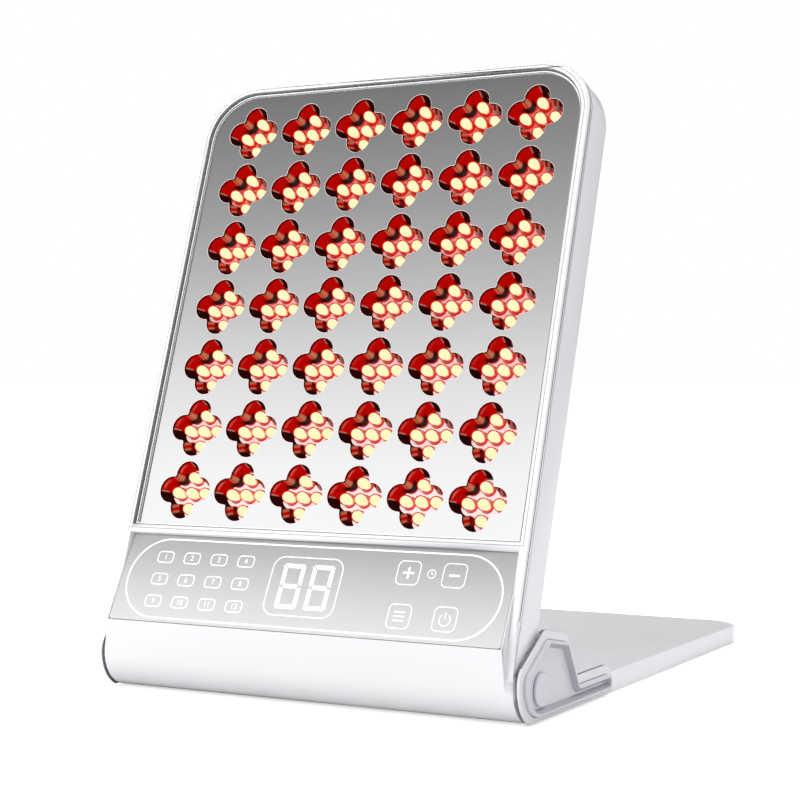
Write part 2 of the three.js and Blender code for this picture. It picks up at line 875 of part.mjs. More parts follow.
// Solid standing along x through the ear's outline, given as [grow, place] pairs.
function earSolid(layers) {
  return solid(across(skinned(layers.map(([grow, place]) => [roundedOutline(earCorners(), grow), place]))));
}

// Builds along +x and mirrors it for the left side.
function sided(body, side) {
  return side > 0 ? body : body.mirror([1, 0, 0]);
}

function ear(side) {
  const outer = earInner + cheekThickness;
  const edge = quarterRound(cheekRounding, looseSteps);
  const rim = edge.map(([inset, drop]) => [cheekBorder - inset, outer - drop]);
  const cheek = earSolid([[cheekBorder, earInner], ...rim]);
  const boss = axle(earBossRadius, bossEnd, earInner + coverSeat / 2, roundSides, 0, axisHeight);
  const seat = earSolid([[gap, earInner + coverSeat], [gap, outer + overrun]]);
  const bore = axle(pinRadius + gap, bossEnd - overrun, outer, roundSides, 0, axisHeight);
  const headSeat = earInner + coverSeat - gap - pinHeadThickness - gap;
  const counterbore = axle(pinHeadRadius + gap, headSeat, outer, roundSides, 0, axisHeight);
  const below = block(outer + overrun, -baseBack, baseBack, -overrun - barrelRadius, baseLift);
  return sided(cheek.add(boss).subtract(joined([seat, bore, counterbore, below])), side);
}

function sideCover(side) {
  const back = earInner + coverSeat + gap;
  const crest = back + coverHeight;
  const floor = back + coverFloor;
  const edge = quarterRound(coverRounding, looseSteps).map(([inset, drop]) => [-inset, crest - drop]);
  const body = earSolid([[0, back], ...edge]);
  const recess = earSolid([
    [-beadWidth - recessRun, floor],
    [-beadWidth, crest],
    [-beadWidth, crest + overrun],
  ]);
  return sided(body.subtract(recess), side);
}

function sidePlug(side) {
  const seat = earInner + coverSeat + gap + coverFloor + gap;
  const profile = [
    [0, 0],
    [plugRadius, 0],
    [plugRadius, plugThickness - plugChamfer],
    [plugRadius - plugChamfer, plugThickness],
    [0, plugThickness],
  ];
  const plug = turned(profile, roundSides).rotateY((side * Math.PI) / 2);
  return solid(plug.translate(side * seat, plugAcross, plugHeight));
}

// Base
function baseCorners() {
  const earEnd = armEndAcross + cheekBorder + gap;
  const narrow = baseHalfWidth - earRebate;
  return [
    [-narrow, 0, 0],
    [narrow, 0, 0],
    [narrow, earEnd, 0],
    [baseHalfWidth, earEnd, 0],
    [baseHalfWidth, baseBack, baseCornerRadius],
    [-baseHalfWidth, baseBack, baseCornerRadius],
    [-baseHalfWidth, earEnd, 0],
    [-narrow, earEnd, 0],
  ];
}

function barrelRoom(radius) {
  return axle(radius, -baseHalfWidth - overrun, baseHalfWidth + overrun, barrelSides, 0, axisHeight);
}

const roomRadius = barrelRadius + barrelClearance;
const coverTop = baseLift + coverThickness;
const sides = [-1, 1];
const baseScrewRows = [baseScrewInset, baseBack - baseScrewInset];
const baseScrewPlaces = sides.flatMap((side) => baseScrewRows.map((y) => [
  side * (baseHalfWidth - baseScrewInset),
  y,
]));
const footRows = [roomRadius + footInset / 2, baseBack - footInset];
const footPlaces = sides.flatMap((side) => footRows.map((y) => [side * (baseHalfWidth - footInset), y]));

function baseShell() {
  const edge = quarterRound(baseRounding, looseSteps).map(([inset, drop]) => [-inset, baseTop - drop]);
  const layers = [[0, baseLift], ...edge];
  const skins = layers.map(([grow, height]) => [roundedOutline(baseCorners(), grow), height]);
  const body = solid(skinned(skins));
  const recess = solid(prism(roundedOutline(baseCorners(), -wall), baseLift - overrun, coverTop + gap));
  const inner = solid(prism(roundedOutline(baseCorners(), -wall), baseLift, baseTop));
  const columnStep = (2 * baseHalfWidth) / pocketColumns;
  const rowStep = baseBack / pocketRows;
  const pockets = [];
  for (let column = 0; column < pocketColumns; column += 1) {
    for (let row = 0; row < pocketRows; row += 1) {
      const x = (column + 1 / 2 - pocketColumns / 2) * columnStep;
      const low = row * rowStep + ribThickness / 2;
      const outline = rectangle((columnStep - ribThickness) / 2, low, low + rowStep - ribThickness);
      const pocket = prism(roundedOutline(outline), baseLift, baseTop - baseSkin);
      pockets.push(solid(pocket.translate(x, 0, 0)));
    }
  }
  const room = barrelRoom(roomRadius + wall);
  const postTop = baseTop - baseSkin / 2;
  const posts = baseScrewPlaces.map(([x, y]) => rod(postRadius, coverTop + gap, postTop, x, y));
  const bores = baseScrewPlaces.map(([x, y]) => rod(screwHole, baseLift, baseTop - baseSkin, x, y));
  return body
    .subtract(joined([recess, inner.intersect(joined(pockets))]).subtract(room))
    .add(joined(posts))
    .subtract(joined([...bores, barrelRoom(roomRadius)]));
}

function baseCover() {
  const plate = solid(prism(roundedOutline(baseCorners(), -wall - gap), baseLift, coverTop));
  const footTop = baseLift + footSink + gap;
  const feet = footPlaces.map(([x, y]) => rod(footRadius + gap, 0, footTop, x, y, roundSides));
  const heads = baseScrewPlaces.map(([x, y]) => rod(
    screwHeadRadius + gap,
    0,
    baseLift + baseScrewSink + baseScrewHeadHeight + gap,
    x,
    y,
  ));
  const holes = baseScrewPlaces.map(([x, y]) => rod(screwHole, 0, coverTop + overrun, x, y));
  return plate.subtract(joined([barrelRoom(roomRadius + wall + gap), ...feet, ...heads, ...holes]));
}

function foot() {
  return solid(turned([
    [0, 0],
    [footRadius - footChamfer, 0],
    [footRadius, footChamfer],
    [footRadius, baseLift + footSink],
    [0, baseLift + footSink],
  ], roundSides));
}

// Assembly: the standing pieces are in the assembly itself, the tilting ones in the panel group.
const assembly = new THREE.Group();
const panel = new THREE.Group();
const hinge = new THREE.Group();
const consoleGroup = new THREE.Group();
assembly.add(panel, hinge);
panel.position.z = axisHeight;
panel.rotation.x = Math.PI / 2 - lean;
hinge.position.z = axisHeight;
panel.add(consoleGroup);
consoleGroup.position.set(0, seamHeight, seamPlane);
consoleGroup.rotation.x = consoleTilt;

addPiece(assembly, 'base_shell', baseShell(), whiteGloss);
addPiece(assembly, 'base_cover', baseCover(), whiteSatin);
footPlaces.forEach(([x, y], index) => {
  addPiece(assembly, `foot_${index + 1}`, foot(), greyRubber).position.set(x, y, 0);
});
baseScrewPlaces.forEach(([x, y], index) => {
  const screw = screwBlank(screwHeadRadius, baseScrewHeadHeight, baseScrewLength);
  addPiece(assembly, `base_screw_${index + 1}`, screw, steel).position.set(x, y, baseLift + baseScrewSink);
});
[['left', -1], ['right', 1]].forEach(([name, side]) => {
  addPiece(assembly, `ear_${name}`, ear(side), whiteGloss);
  addPiece(assembly, `side_cover_${name}`, sideCover(side), whiteGloss);
  addPiece(assembly, `side_plug_${name}`, sidePlug(side), whiteGloss);
  addPiece(hinge, `hinge_pin_${name}`, hingePin(side), steel);
  addPiece(panel, `hinge_block_${name}`, hingeBlock(side), blackPlastic);
  addPiece(panel, `hinge_bush_${name}`, hingeBush(side), steel);
});

const outer = outerBody();
const inner = innerBody();
addPiece(panel, 'front_frame', frontFrame(outer, inner), whiteGloss);
addPiece(panel, 'rear_shell', rearShell(outer, inner), whiteGloss);
addPiece(panel, 'trim_ring', trimRing(), trimMetal);
addPiece(panel, 'reflector_plate', reflectorPlate(), mirrorMetal);
for (let row = 0; row < rows; row += 1) {
  addPiece(panel, `led_strip_${row + 1}`, ledStrip(row), boardWhite);
}
addPiece(panel, 'heatsink_plate', heatsinkPlate(), aluminium);
addPiece(panel, 'driver_board', driverBoard(), boardGreen);
addPiece(panel, 'dc_inlet', dcInlet(), blackPlastic);
rearScrewPlaces.forEach(([x, y], index) => {
  const screw = screwBlank(screwHeadRadius, screwHeadHeight, rearScrewLength);
  addPiece(panel, `rear_screw_${index + 1}`, screw, steel).position.set(x, y, slabBack + screwSink);
});
addPiece(consoleGroup, 'console_panel', consolePanel(), consoleGrey);
addPiece(consoleGroup, 'display_module', displayModule(), blackPlastic);
addPiece(consoleGroup, 'touch_board', touchBoard(), boardGreen);

// The origin is under the middle of the whole part, on the surface that it stands on.
const bounds = new THREE.Box3().setFromObject(assembly, true);
assembly.position.y = -(bounds.min.y + bounds.max.y) / 2;

const redLightPanel = new THREE.Group();
redLightPanel.add(assembly);

export default redLightPanel;
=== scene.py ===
"""Red light therapy panel: the looks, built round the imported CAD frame.

Pieces are modelled in millimetres in the frame of what carries them (the panel, the console plane
or one side of the hinge) and are then set into the row frame, in metres, inside their own meshes.
"""

from __future__ import annotations

import json
import logging
import math
from dataclasses import dataclass, field
from enum import Enum
from typing import Callable

import bpy
from mathutils import Matrix, Vector

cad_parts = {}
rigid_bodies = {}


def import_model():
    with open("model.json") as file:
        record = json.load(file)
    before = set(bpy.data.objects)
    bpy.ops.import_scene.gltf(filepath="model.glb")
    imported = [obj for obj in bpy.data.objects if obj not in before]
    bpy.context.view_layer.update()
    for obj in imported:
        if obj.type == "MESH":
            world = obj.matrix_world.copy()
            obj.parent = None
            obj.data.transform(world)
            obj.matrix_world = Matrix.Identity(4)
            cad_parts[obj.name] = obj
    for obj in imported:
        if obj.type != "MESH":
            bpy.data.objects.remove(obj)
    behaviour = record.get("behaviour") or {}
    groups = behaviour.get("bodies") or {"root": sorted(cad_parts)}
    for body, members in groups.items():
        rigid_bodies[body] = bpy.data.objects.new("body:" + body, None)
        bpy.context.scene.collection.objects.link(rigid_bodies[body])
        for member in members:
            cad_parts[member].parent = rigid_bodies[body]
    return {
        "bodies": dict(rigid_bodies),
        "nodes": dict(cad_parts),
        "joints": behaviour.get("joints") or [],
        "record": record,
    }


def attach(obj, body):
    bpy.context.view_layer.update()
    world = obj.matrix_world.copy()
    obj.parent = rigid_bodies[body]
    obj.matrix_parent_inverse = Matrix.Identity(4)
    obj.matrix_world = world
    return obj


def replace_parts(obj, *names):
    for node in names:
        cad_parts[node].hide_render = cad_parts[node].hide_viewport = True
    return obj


Piece = bpy.types.Object
Mesh = bpy.types.Mesh
Material = bpy.types.Material
Socket = bpy.types.NodeSocket
Sockets = bpy.types.bpy_prop_collection
Node = bpy.types.Node
NodeTree = bpy.types.NodeTree
Feeds = dict[str | int, object]
FaceTest = Callable[[Vector, Vector], bool]
Place = tuple[float, float]
Profile = tuple[Place, ...]
Outline = list[Place]
Triple = tuple[float, float, float]
Corner = Triple
Layer = tuple[Outline, float]
Colour = Triple
Stops = tuple[tuple[float, Colour], ...]
WHITE: Colour = (1.0, 1.0, 1.0)

MM = 0.001
# The play between neighbours, the reach of a weld, and how near two levels count as one
SLIT = 0.3
WELD = 1e-6
TOUCH = 0.01
# A face is level where its normal's part along z is over the first, a wall where it is under the second
LEVEL = 0.95
STEEP = 0.5
log = logging.getLogger("panel_scene")


class Side(Enum):
    """One side of the hinge, as its sign along x."""

    LEFT = -1
    RIGHT = 1

    @property
    def word(self) -> str:
        """The side's name as the CAD nodes write it."""
        return self.name.lower()


class Grain(Enum):
    """Direction in which a metal is brushed, as the stretch of its noise along each axis."""

    ACROSS = (4.0, 900.0, 900.0)
    UPRIGHT = (900.0, 900.0, 4.0)
    EVEN = (700.0, 700.0, 700.0)


# Outlines


def rounded(corners: list[Corner], grow: float = 0.0, chord: float = 0.02) -> Outline:
    """Anticlockwise outline with rounded corners.

    Args:
        corners: the corners as x, y and radius.
        grow: how far every side moves outwards; the number of points doesn't depend on it.
        chord: how far a straight step may lie from its arc.

    Returns:
        The outline's points.
    """
    points: Outline = []
    count = len(corners)
    for index, (x, y, radius) in enumerate(corners):
        place = Vector((x, y))
        into = (place - Vector(corners[index - 1][:2])).normalized()
        out = (Vector(corners[(index + 1) % count][:2]) - place).normalized()
        turn = math.atan2(into.x * out.y - into.y * out.x, into.dot(out))
        shift = Vector((into.y + out.y, -into.x - out.x))
        corner = place + shift * (grow / (1 + into.dot(out)))
        if radius == 0:
            points.append(tuple(corner))
            continue
        bend = max(radius + grow * math.copysign(1, turn), 0.2)
        start = corner - into * (bend * math.tan(abs(turn) / 2))
        side = Vector((-into.y, into.x)) * math.copysign(1, turn)
        centre = start + side * bend
        steps = max(3, round(abs(turn) / math.sqrt(8 * chord / radius)))
        for step in range(steps + 1):
            arm = (start - centre).copy()
            arm.rotate(Matrix.Rotation(turn * step / steps, 2))
            points.append(tuple(centre + arm))
    return points


def box_corners(left: float, low: float, right: float, high: float, radius: float) -> list[Corner]:
    """Corners of a rectangle with equal corner radii."""
    return [(left, low, radius), (right, low, radius), (right, high, radius), (left, high, radius)]


def box_round(centre: Place, size: Place, radius: float) -> list[Corner]:
    """Corners of a rectangle round a centre, with equal corner radii."""
    (x, y), (wide, tall) = centre, size
    return box_corners(x - wide / 2, y - tall / 2, x + wide / 2, y + tall / 2, radius)


def circle(radius: float, sides: int, centre: Place = (0.0, 0.0)) -> Outline:
    """Points of a circle."""
    turns = [2 * math.pi * step / sides for step in range(sides)]
    return [(centre[0] + radius * math.cos(a), centre[1] + radius * math.sin(a)) for a in turns]


def turned(profile: Profile, sides: int, centre: Place = (0.0, 0.0), low: float = 0.0) -> list[Layer]:
    """Layers of a turned shape, from its radii and their heights above a level."""
    return [(circle(radius, sides, centre), low + height) for radius, height in profile]


def arc_band(radius: float, width: float, start: float, end: float, centre: Place) -> Outline:
    """Outline of a band along an arc.

    Args:
        radius: the radius of the band's middle line.
        width: the band's width.
        start: the angle in degrees at which the band begins.
        end: the angle at which it ends.
        centre: the arc's centre.

    Returns:
        The outline's points.
    """
    steps = 24
    turns = [math.radians(start + (end - start) * step / steps) for step in range(steps + 1)]
    x, y = centre
    edges = []
    for reach in (radius + width / 2, radius - width / 2):
        edges.append([(x + reach * math.cos(a), y + reach * math.sin(a)) for a in turns])
    return edges[0] + edges[1][::-1]


def eased(corners: list[Corner], grow: float, top: float, radius: float) -> list[Layer]:
    """Layers of an edge rounded by a quarter circle, from the side up to the face.

    Args:
        corners: the outline's corners.
        grow: how far the side lies outside them.
        top: the face's height.
        radius: the quarter circle's radius.

    Returns:
        The outlines and their heights.
    """
    layers = []
    steps = 3
    for step in range(steps + 1):
        angle = math.pi / 2 * step / steps
        inset = radius * (1 - math.cos(angle))
        layers.append((rounded(corners, grow - inset), top - radius * (1 - math.sin(angle))))
    return layers


def four_places(across: float, low: float, high: float) -> list[Place]:
    """Four places, two on the left and two on the right, at two levels each."""
    return [(x, y) for x in (-across, across) for y in (low, high)]


# Modelling with Blender's own operators


def only(*pieces: Piece) -> None:
    """Selects some pieces alone and makes the first one active.

    Args:
        pieces: the pieces; with none, nothing stays selected.
    """
    bpy.ops.object.select_all(action="DESELECT")
    for piece in pieces:
        piece.select_set(True)
    if pieces:
        bpy.context.view_layer.objects.active = pieces[0]


def edit_all() -> None:
    """Enters edit mode with everything selected."""
    bpy.ops.object.mode_set(mode="EDIT")
    bpy.ops.mesh.select_all(action="SELECT")


def leave_edit() -> None:
    """Goes back to object mode."""
    bpy.ops.object.mode_set(mode="OBJECT")


def named(name: str) -> Piece:
    """Gives the active object and its mesh a name.

    Args:
        name: the name.

    Returns:
        The active object.
    """
    piece = bpy.context.object
    piece.name = name
    piece.data.name = name
    return piece


def start_outline(name: str, outline: Outline, height: float, fill: str) -> Piece:
    """A flat outline in edit mode, all selected, with its points numbered.

    Args:
        name: the piece's name.
        outline: the outline.
        height: its height.
        fill: how the circle that it starts from is filled.

    Returns:
        The piece.
    """
    only()
    bpy.ops.mesh.primitive_circle_add(vertices=len(outline), radius=1, fill_type=fill)
    piece = named(name)
    for vertex, (x, y) in zip(piece.data.vertices, outline):
        vertex.co = (x, y, height)
    order = piece.data.attributes.new("order", "INT", "POINT")
    order.data.foreach_set("value", list(range(len(outline))))
    edit_all()
    return piece


def reshape(piece: Piece, outline: Outline, height: float) -> None:
    """Moves the selected points to those of an outline with the same numbers.

    Args:
        piece: the piece, in edit mode.
        outline: the outline.
        height: its height.
    """
    leave_edit()
    order = piece.data.attributes["order"].data
    for vertex in piece.data.vertices:
        if vertex.select:
            vertex.co = (*outline[order[vertex.index].value], height)
    bpy.ops.object.mode_set(mode="EDIT")


def close_up(piece: Piece) -> None:
    """Leaves edit mode with the numbering dropped and every face turned outwards.

    Args:
        piece: the piece, closed all round.
    """
    leave_edit()
    piece.data.attributes.remove(piece.data.attributes["order"])
    only(piece)
    edit_all()
    bpy.ops.mesh.normals_make_consistent(inside=False)
    leave_edit()


def stack(name: str, layers: list[Layer]) -> Piece:
    """A closed solid, drawn up from one face through outlines of equal count.

    Args:
        name: the piece's name.
        layers: outlines and their heights; the first and the last are closed.

    Returns:
        The piece.
    """
    base, low = layers[0]
    piece = start_outline(name, base, low, "NGON")
    for outline, height in layers[1:]:
        bpy.ops.mesh.extrude_region_move(TRANSFORM_OT_translate={"value": (0, 0, height - low)})
        reshape(piece, outline, height)
        low = height
    close_up(piece)
    return piece


def plate(name: str, outline: Outline, low: float, high: float) -> Piece:
    """A flat solid with square edges."""
    return stack(name, [(outline, low), (outline, high)])


def hoop(name: str, outer: Outline, inner: Outline, low: float, high: float) -> Piece:
    """A flat solid between two outlines of equal count.

    Args:
        name: the piece's name.
        outer: the outline outside.
        inner: the outline inside.
        low: the height of its lower face.
        high: the height of its upper face.

    Returns:
        The piece.
    """
    piece = start_outline(name, outer, low, "NOTHING")
    bpy.ops.mesh.extrude_edges_move()
    reshape(piece, inner, low)
    bpy.ops.mesh.select_all(action="SELECT")
    bpy.ops.mesh.extrude_region_move(TRANSFORM_OT_translate={"value": (0, 0, high - low)})
    close_up(piece)
    return piece


def joined(name: str, pieces: list[Piece]) -> Piece:
    """Several pieces as one object, each part keeping its own faces.

    Args:
        name: the name of the whole.
        pieces: the pieces, at least two.

    Returns:
        The whole.
    """
    only(*pieces)
    bpy.ops.object.join()
    return named(name)


def in_range(value: float, levels: Place) -> bool:
    """Whether a value lies between two levels."""
    return levels[0] < value < levels[1]


def copied(piece: Piece, name: str, place: Triple) -> Piece:
    """A copy with a mesh of its own, moved to a place.

    Args:
        piece: the piece, round the origin.
        name: the copy's name.
        place: the copy's place.

    Returns:
        The copy.
    """
    twin = piece.copy()
    twin.data = piece.data.copy()
    twin.name = name
    twin.data.name = name
    bpy.context.scene.collection.objects.link(twin)
    twin.data.transform(Matrix.Translation(place))
    return twin


def repeated(piece: Piece, name: str, places: list[Place], level: float) -> list[Piece]:
    """Numbered copies of a piece, which take its place.

    Args:
        piece: the piece, round the origin; it is removed.
        name: the copies' name, before their numbers.
        places: the copies' places.
        level: the height at which they stand.

    Returns:
        The copies.
    """
    copies = [copied(piece, f"{name}_{i}", (x, y, level)) for i, (x, y) in enumerate(places, 1)]
    bpy.data.objects.remove(piece)
    return copies


def finish_with(piece: Piece, name: str, kind: str, **settings: object) -> None:
    """Adds a modifier to a piece and applies it.

    Args:
        piece: the piece.
        name: the modifier's name.
        kind: its type.
        settings: its properties.
    """
    only(piece)
    step = piece.modifiers.new(name, kind)
    for key, value in settings.items():
        setattr(step, key, value)
    bpy.ops.object.modifier_apply(modifier=step.name)


def carve(piece: Piece, tool: Piece, operation: str = "DIFFERENCE") -> None:
    """Cuts a tool out of a piece, or joins it on, and removes the tool."""
    finish_with(piece, "carve", "BOOLEAN", operation=operation, solver="EXACT", object=tool)
    bpy.data.objects.remove(tool)


def shade(piece: Piece, angle: float = 40.0) -> None:
    """Smooth shading below an angle, with flat faces kept flat.

    Args:
        piece: the piece.
        angle: the angle in degrees from which an edge stays sharp.
    """
    only(piece)
    bpy.ops.object.shade_smooth_by_angle(angle=math.radians(angle))
    finish_with(piece, "flat faces", "WEIGHTED_NORMAL", keep_sharp=True, weight=90)


def skin_of(source: Piece, name: str) -> Piece:
    """A copy of a CAD node whose loose triangles are merged into one surface.

    Args:
        source: the CAD node.
        name: the copy's name.

    Returns:
        The copy.
    """
    piece = source.copy()
    piece.data = source.data.copy()
    for key in list(piece.keys()):
        del piece[key]
    bpy.context.scene.collection.objects.link(piece)
    piece.parent = None
    piece.matrix_world = Matrix.Identity(4)
    only(piece)
    named(name)
    edit_all()
    bpy.ops.mesh.remove_doubles(threshold=WELD)
    leave_edit()
    return piece


def refine_corner(piece: Piece, place: Matrix, centre: Place, cuts: int = 2) -> None:
    """Splits the straight steps of a corner's arcs and moves the new points onto the arcs.

    Args:
        piece: the piece, in the row frame.
        place: the matrix from the frame in which the corner lies flat to the row frame.
        centre: the centre of the corner's arcs in that flat frame; the corner lies outside it.
        cuts: how many new points each step gets.
    """
    x, y = centre
    side = math.copysign(1, x)
    least_reach, least_turn, most_turn = 12, 0.02, 0.6
    mesh = piece.data
    mesh.transform(place.inverted())
    reach = mesh.attributes.new("reach", "FLOAT", "POINT")
    arms = [Vector((v.co.x - x, v.co.y - y)) for v in mesh.vertices]
    reach.data.foreach_set("value", [arm.length for arm in arms])

    def outside(arm: Vector) -> bool:
        """Whether an arm from the centre points into the corner."""
        return arm.x * side > -0.01 and arm.y > -0.01 and arm.length > least_reach

    only(piece)
    bpy.ops.object.mode_set(mode="EDIT")
    bpy.ops.mesh.select_mode(type="EDGE")
    bpy.ops.mesh.select_all(action="DESELECT")
    leave_edit()
    for edge in mesh.edges:
        a, b = (arms[index] for index in edge.vertices)
        both = outside(a) and outside(b)
        edge.select = both and least_turn < abs(a.angle_signed(b, 0)) < most_turn
    bpy.ops.object.mode_set(mode="EDIT")
    bpy.ops.mesh.subdivide(number_cuts=cuts)
    leave_edit()
    values = [0.0] * len(mesh.vertices)
    mesh.attributes["reach"].data.foreach_get("value", values)
    for vertex, target in zip(mesh.vertices, values):
        arm = Vector((vertex.co.x - x, vertex.co.y - y))
        if outside(arm):
            arm *= target / arm.length
            vertex.co.x, vertex.co.y = x + arm.x, y + arm.y
    mesh.attributes.remove(mesh.attributes["reach"])
    mesh.transform(place)


def line_gap(piece: Piece, place: Matrix, finish: Material, inside: FaceTest) -> None:
    """Gives the faces that line a narrow gap their own finish.

    Args:
        piece: the piece, in the row frame and with its main finish.
        place: the matrix from the frame in which the gap is described to the row frame.
        finish: the gap's finish.
        inside: tells from a face's middle and its normal whether the face lines the gap.
    """
    back = place.inverted()
    turn = back.to_3x3().normalized()
    piece.data.materials.append(finish)
    index = len(piece.data.materials) - 1
    for face in piece.data.polygons:
        if inside(back @ face.center, turn @ face.normal):
            face.material_index = index


def chart(piece: Piece, name: str, reading: Callable[[Vector], Place]) -> None:
    """Writes a UV map.

    Args:
        piece: the piece.
        name: the map's name.
        reading: gives the map's x and y for a point's place.
    """
    plan = piece.data.uv_layers.new(name=name)
    for loop in piece.data.loops:
        plan.data[loop.index].uv = reading(piece.data.vertices[loop.vertex_index].co)


def settle(piece: Piece, place: Matrix, body: str, finish: Material | None) -> Piece:
    """Sets a finished piece into the row frame, dresses it and lets it ride on its body.

    Args:
        piece: the piece, modelled in millimetres in its own frame.
        place: the matrix from that frame to the row frame.
        body: the CAD body on which it rides.
        finish: its material, or none where it has its materials already.

    Returns:
        The piece.
    """
    piece.data.transform(place)
    if place.determinant() < 0:
        piece.data.flip_normals()
    if finish is not None:
        piece.data.materials.clear()
        piece.data.materials.append(finish)
    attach(piece, body)
    log.info("%s rides on %s", piece.name, body)
    return piece


# Shader effects that several materials share


def solid(colour: Colour) -> tuple[float, float, float, float]:
    """A colour with full cover."""
    return (*colour, 1.0)


def greys(*levels: Place) -> Stops:
    """Ramp stops that are grey, from their places and levels."""
    return tuple((place, (level, level, level)) for place, level in levels)


class Wiring:
    """Adds and joins the nodes of one shader tree."""

    def __init__(self, tree: NodeTree) -> None:
        """Starts with the tree emptied."""
        self.tree = tree
        tree.nodes.clear()

    def add(self, kind: str, feeds: Feeds | None = None, **settings: object) -> Node:
        """Adds a node.

        Args:
            kind: the node's type.
            feeds: sockets or plain values for its inputs, by their names or numbers.
            settings: the node's own properties.

        Returns:
            The node.
        """
        node = self.tree.nodes.new(kind)
        for key, value in settings.items():
            setattr(node, key, value)
        self.feed(node, feeds or {})
        return node

    def feed(self, node: Node, feeds: Feeds) -> None:
        """Gives a node's inputs what they read.

        Args:
            node: the node.
            feeds: sockets or plain values, by the inputs' names or numbers.
        """
        for key, value in feeds.items():
            if isinstance(value, Socket):
                self.tree.links.new(value, node.inputs[key])
            else:
                node.inputs[key].default_value = value

    def maths(self, operation: str, first: Socket | float, second: Socket | float = 0.0) -> Socket:
        """A Math node on two sockets or numbers."""
        return self.add("ShaderNodeMath", {0: first, 1: second}, operation=operation).outputs[0]

    def times(self, first: Socket | float, second: Socket | float) -> Socket:
        """The product of two sockets or numbers."""
        return self.maths("MULTIPLY", first, second)

    def ramp(self, value: Socket, stops: Stops) -> Socket:
        """A colour ramp.

        Args:
            value: what the ramp reads.
            stops: the places and colours of its stops, in order.

        Returns:
            The ramp's colour.
        """
        node = self.add("ShaderNodeValToRGB", {0: value})
        band = node.color_ramp.elements
        while len(band) < len(stops):
            band.new(1.0)
        for element, (place, colour) in zip(band, stops):
            element.position = place
            element.color = solid(colour)
        return node.outputs[0]

    def mix(self, share: Socket | float, first: object, second: object, blend: str = "MIX") -> Socket:
        """Two colours, each a socket or a plain value, mixed by the second one's share."""
        feeds = {0: share, 6: first, 7: second}
        return self.add("ShaderNodeMix", feeds, data_type="RGBA", blend_type=blend).outputs[2]

    def place(self) -> Socket:
        """The place on the piece in the rest pose."""
        return self.add("ShaderNodeTexCoord").outputs["Object"]

    def parts(self, vector: Socket) -> Sockets:
        """The three parts of a vector, by their letters."""
        return self.add("ShaderNodeSeparateXYZ", {0: vector}).outputs

    def chart(self, name: str) -> Socket:
        """The place on one of the piece's own UV maps."""
        return self.add("ShaderNodeUVMap", uv_map=name).outputs[0]

    def between(self, value: Socket, low: float, high: float) -> Socket:
        """A value as a share of the way between two levels, kept within 0 and 1."""
        feeds = {"Value": value, "From Min": low, "From Max": high}
        return self.add("ShaderNodeMapRange", feeds).outputs[0]

    def height_between(self, low: float, high: float) -> Socket:
        """The height in the rest pose as a share of the way between two levels."""
        return self.between(self.parts(self.place())["Z"], low, high)

    def noise(self, scale: Socket | float, detail: float, distortion: float = 0.0) -> Socket:
        """Noise over the place on the piece."""
        feeds = {"Vector": self.place(), "Scale": scale, "Detail": detail, "Distortion": distortion}
        return self.add("ShaderNodeTexNoise", feeds).outputs[0]

    def bump(self, height: Socket, strength: float, distance: float) -> Socket:
        """The normal of a surface with this height."""
        feeds = {"Height": height, "Strength": strength, "Distance": distance}
        return self.add("ShaderNodeBump", feeds).outputs[0]


def new_group(name: str, inputs: Feeds, result: str, kind: str) -> tuple[Wiring, Sockets, Node]:
    """A node group with named inputs and one named result.

    Args:
        name: the group's name.
        inputs: its inputs' names and usual values; a value is a number, a vector or a colour.
        result: the result's name.
        kind: what the result is, as socket types are named.

    Returns:
        The group's wiring, the sockets of its inputs and its end node.
    """
    kinds = {1: "Float", 3: "Vector", 4: "Color"}
    tree = bpy.data.node_groups.new(name, "ShaderNodeTree")
    wiring = Wiring(tree)
    for label, value in inputs.items():
        size = 1 if isinstance(value, float) else len(value)
        socket = tree.interface.new_socket(label, in_out="INPUT", socket_type=f"NodeSocket{kinds[size]}")
        socket.default_value = value
    tree.interface.new_socket(result, in_out="OUTPUT", socket_type=f"NodeSocket{kind}")
    return wiring, wiring.add("NodeGroupInput").outputs, wiring.add("NodeGroupOutput")


def relief_group() -> NodeTree:
    """Fine uneven relief of a moulded or cast surface.

    Returns:
        The group.
    """
    inputs = {"Scale": 900.0, "Depth": 1.0}
    wiring, given, end = new_group("Moulded relief", inputs, "Height", "Float")
    waves = wiring.times(wiring.noise(22.0, 1.0), 2.0)
    total = wiring.maths("ADD", wiring.noise(given["Scale"], 3.0), waves)
    wiring.feed(end, {"Height": wiring.times(total, given["Depth"])})
    return wiring.tree


def drift_group() -> NodeTree:
    """Slight drift of a colour's lightness over the surface.

    Returns:
        The group.
    """
    inputs = {"Color": (0.8, 0.8, 0.8, 1.0), "Amount": 0.03, "Scale": 14.0}
    wiring, given, end = new_group("Tone drift", inputs, "Color", "Color")
    offset = wiring.maths("SUBTRACT", wiring.noise(given["Scale"], 4.0), 0.5)
    value = wiring.maths("ADD", wiring.times(offset, given["Amount"]), 1.0)
    tint = wiring.add("ShaderNodeHueSaturation", {"Value": value, "Color": given["Color"]})
    wiring.feed(end, {"Color": tint.outputs[0]})
    return wiring.tree


def marks_group() -> NodeTree:
    """Roughness with faint wiped and fingered patches.

    Returns:
        The group.
    """
    inputs = {"Roughness": 0.2, "Spread": 0.08, "Scale": 30.0}
    wiring, given, end = new_group("Handling marks", inputs, "Roughness", "Float")
    patch = wiring.between(wiring.noise(given["Scale"], 5.0, 1.2), 0.42, 0.72)
    extra = wiring.times(patch, given["Spread"])
    wiring.feed(end, {"Roughness": wiring.maths("ADD", extra, given["Roughness"])})
    return wiring.tree


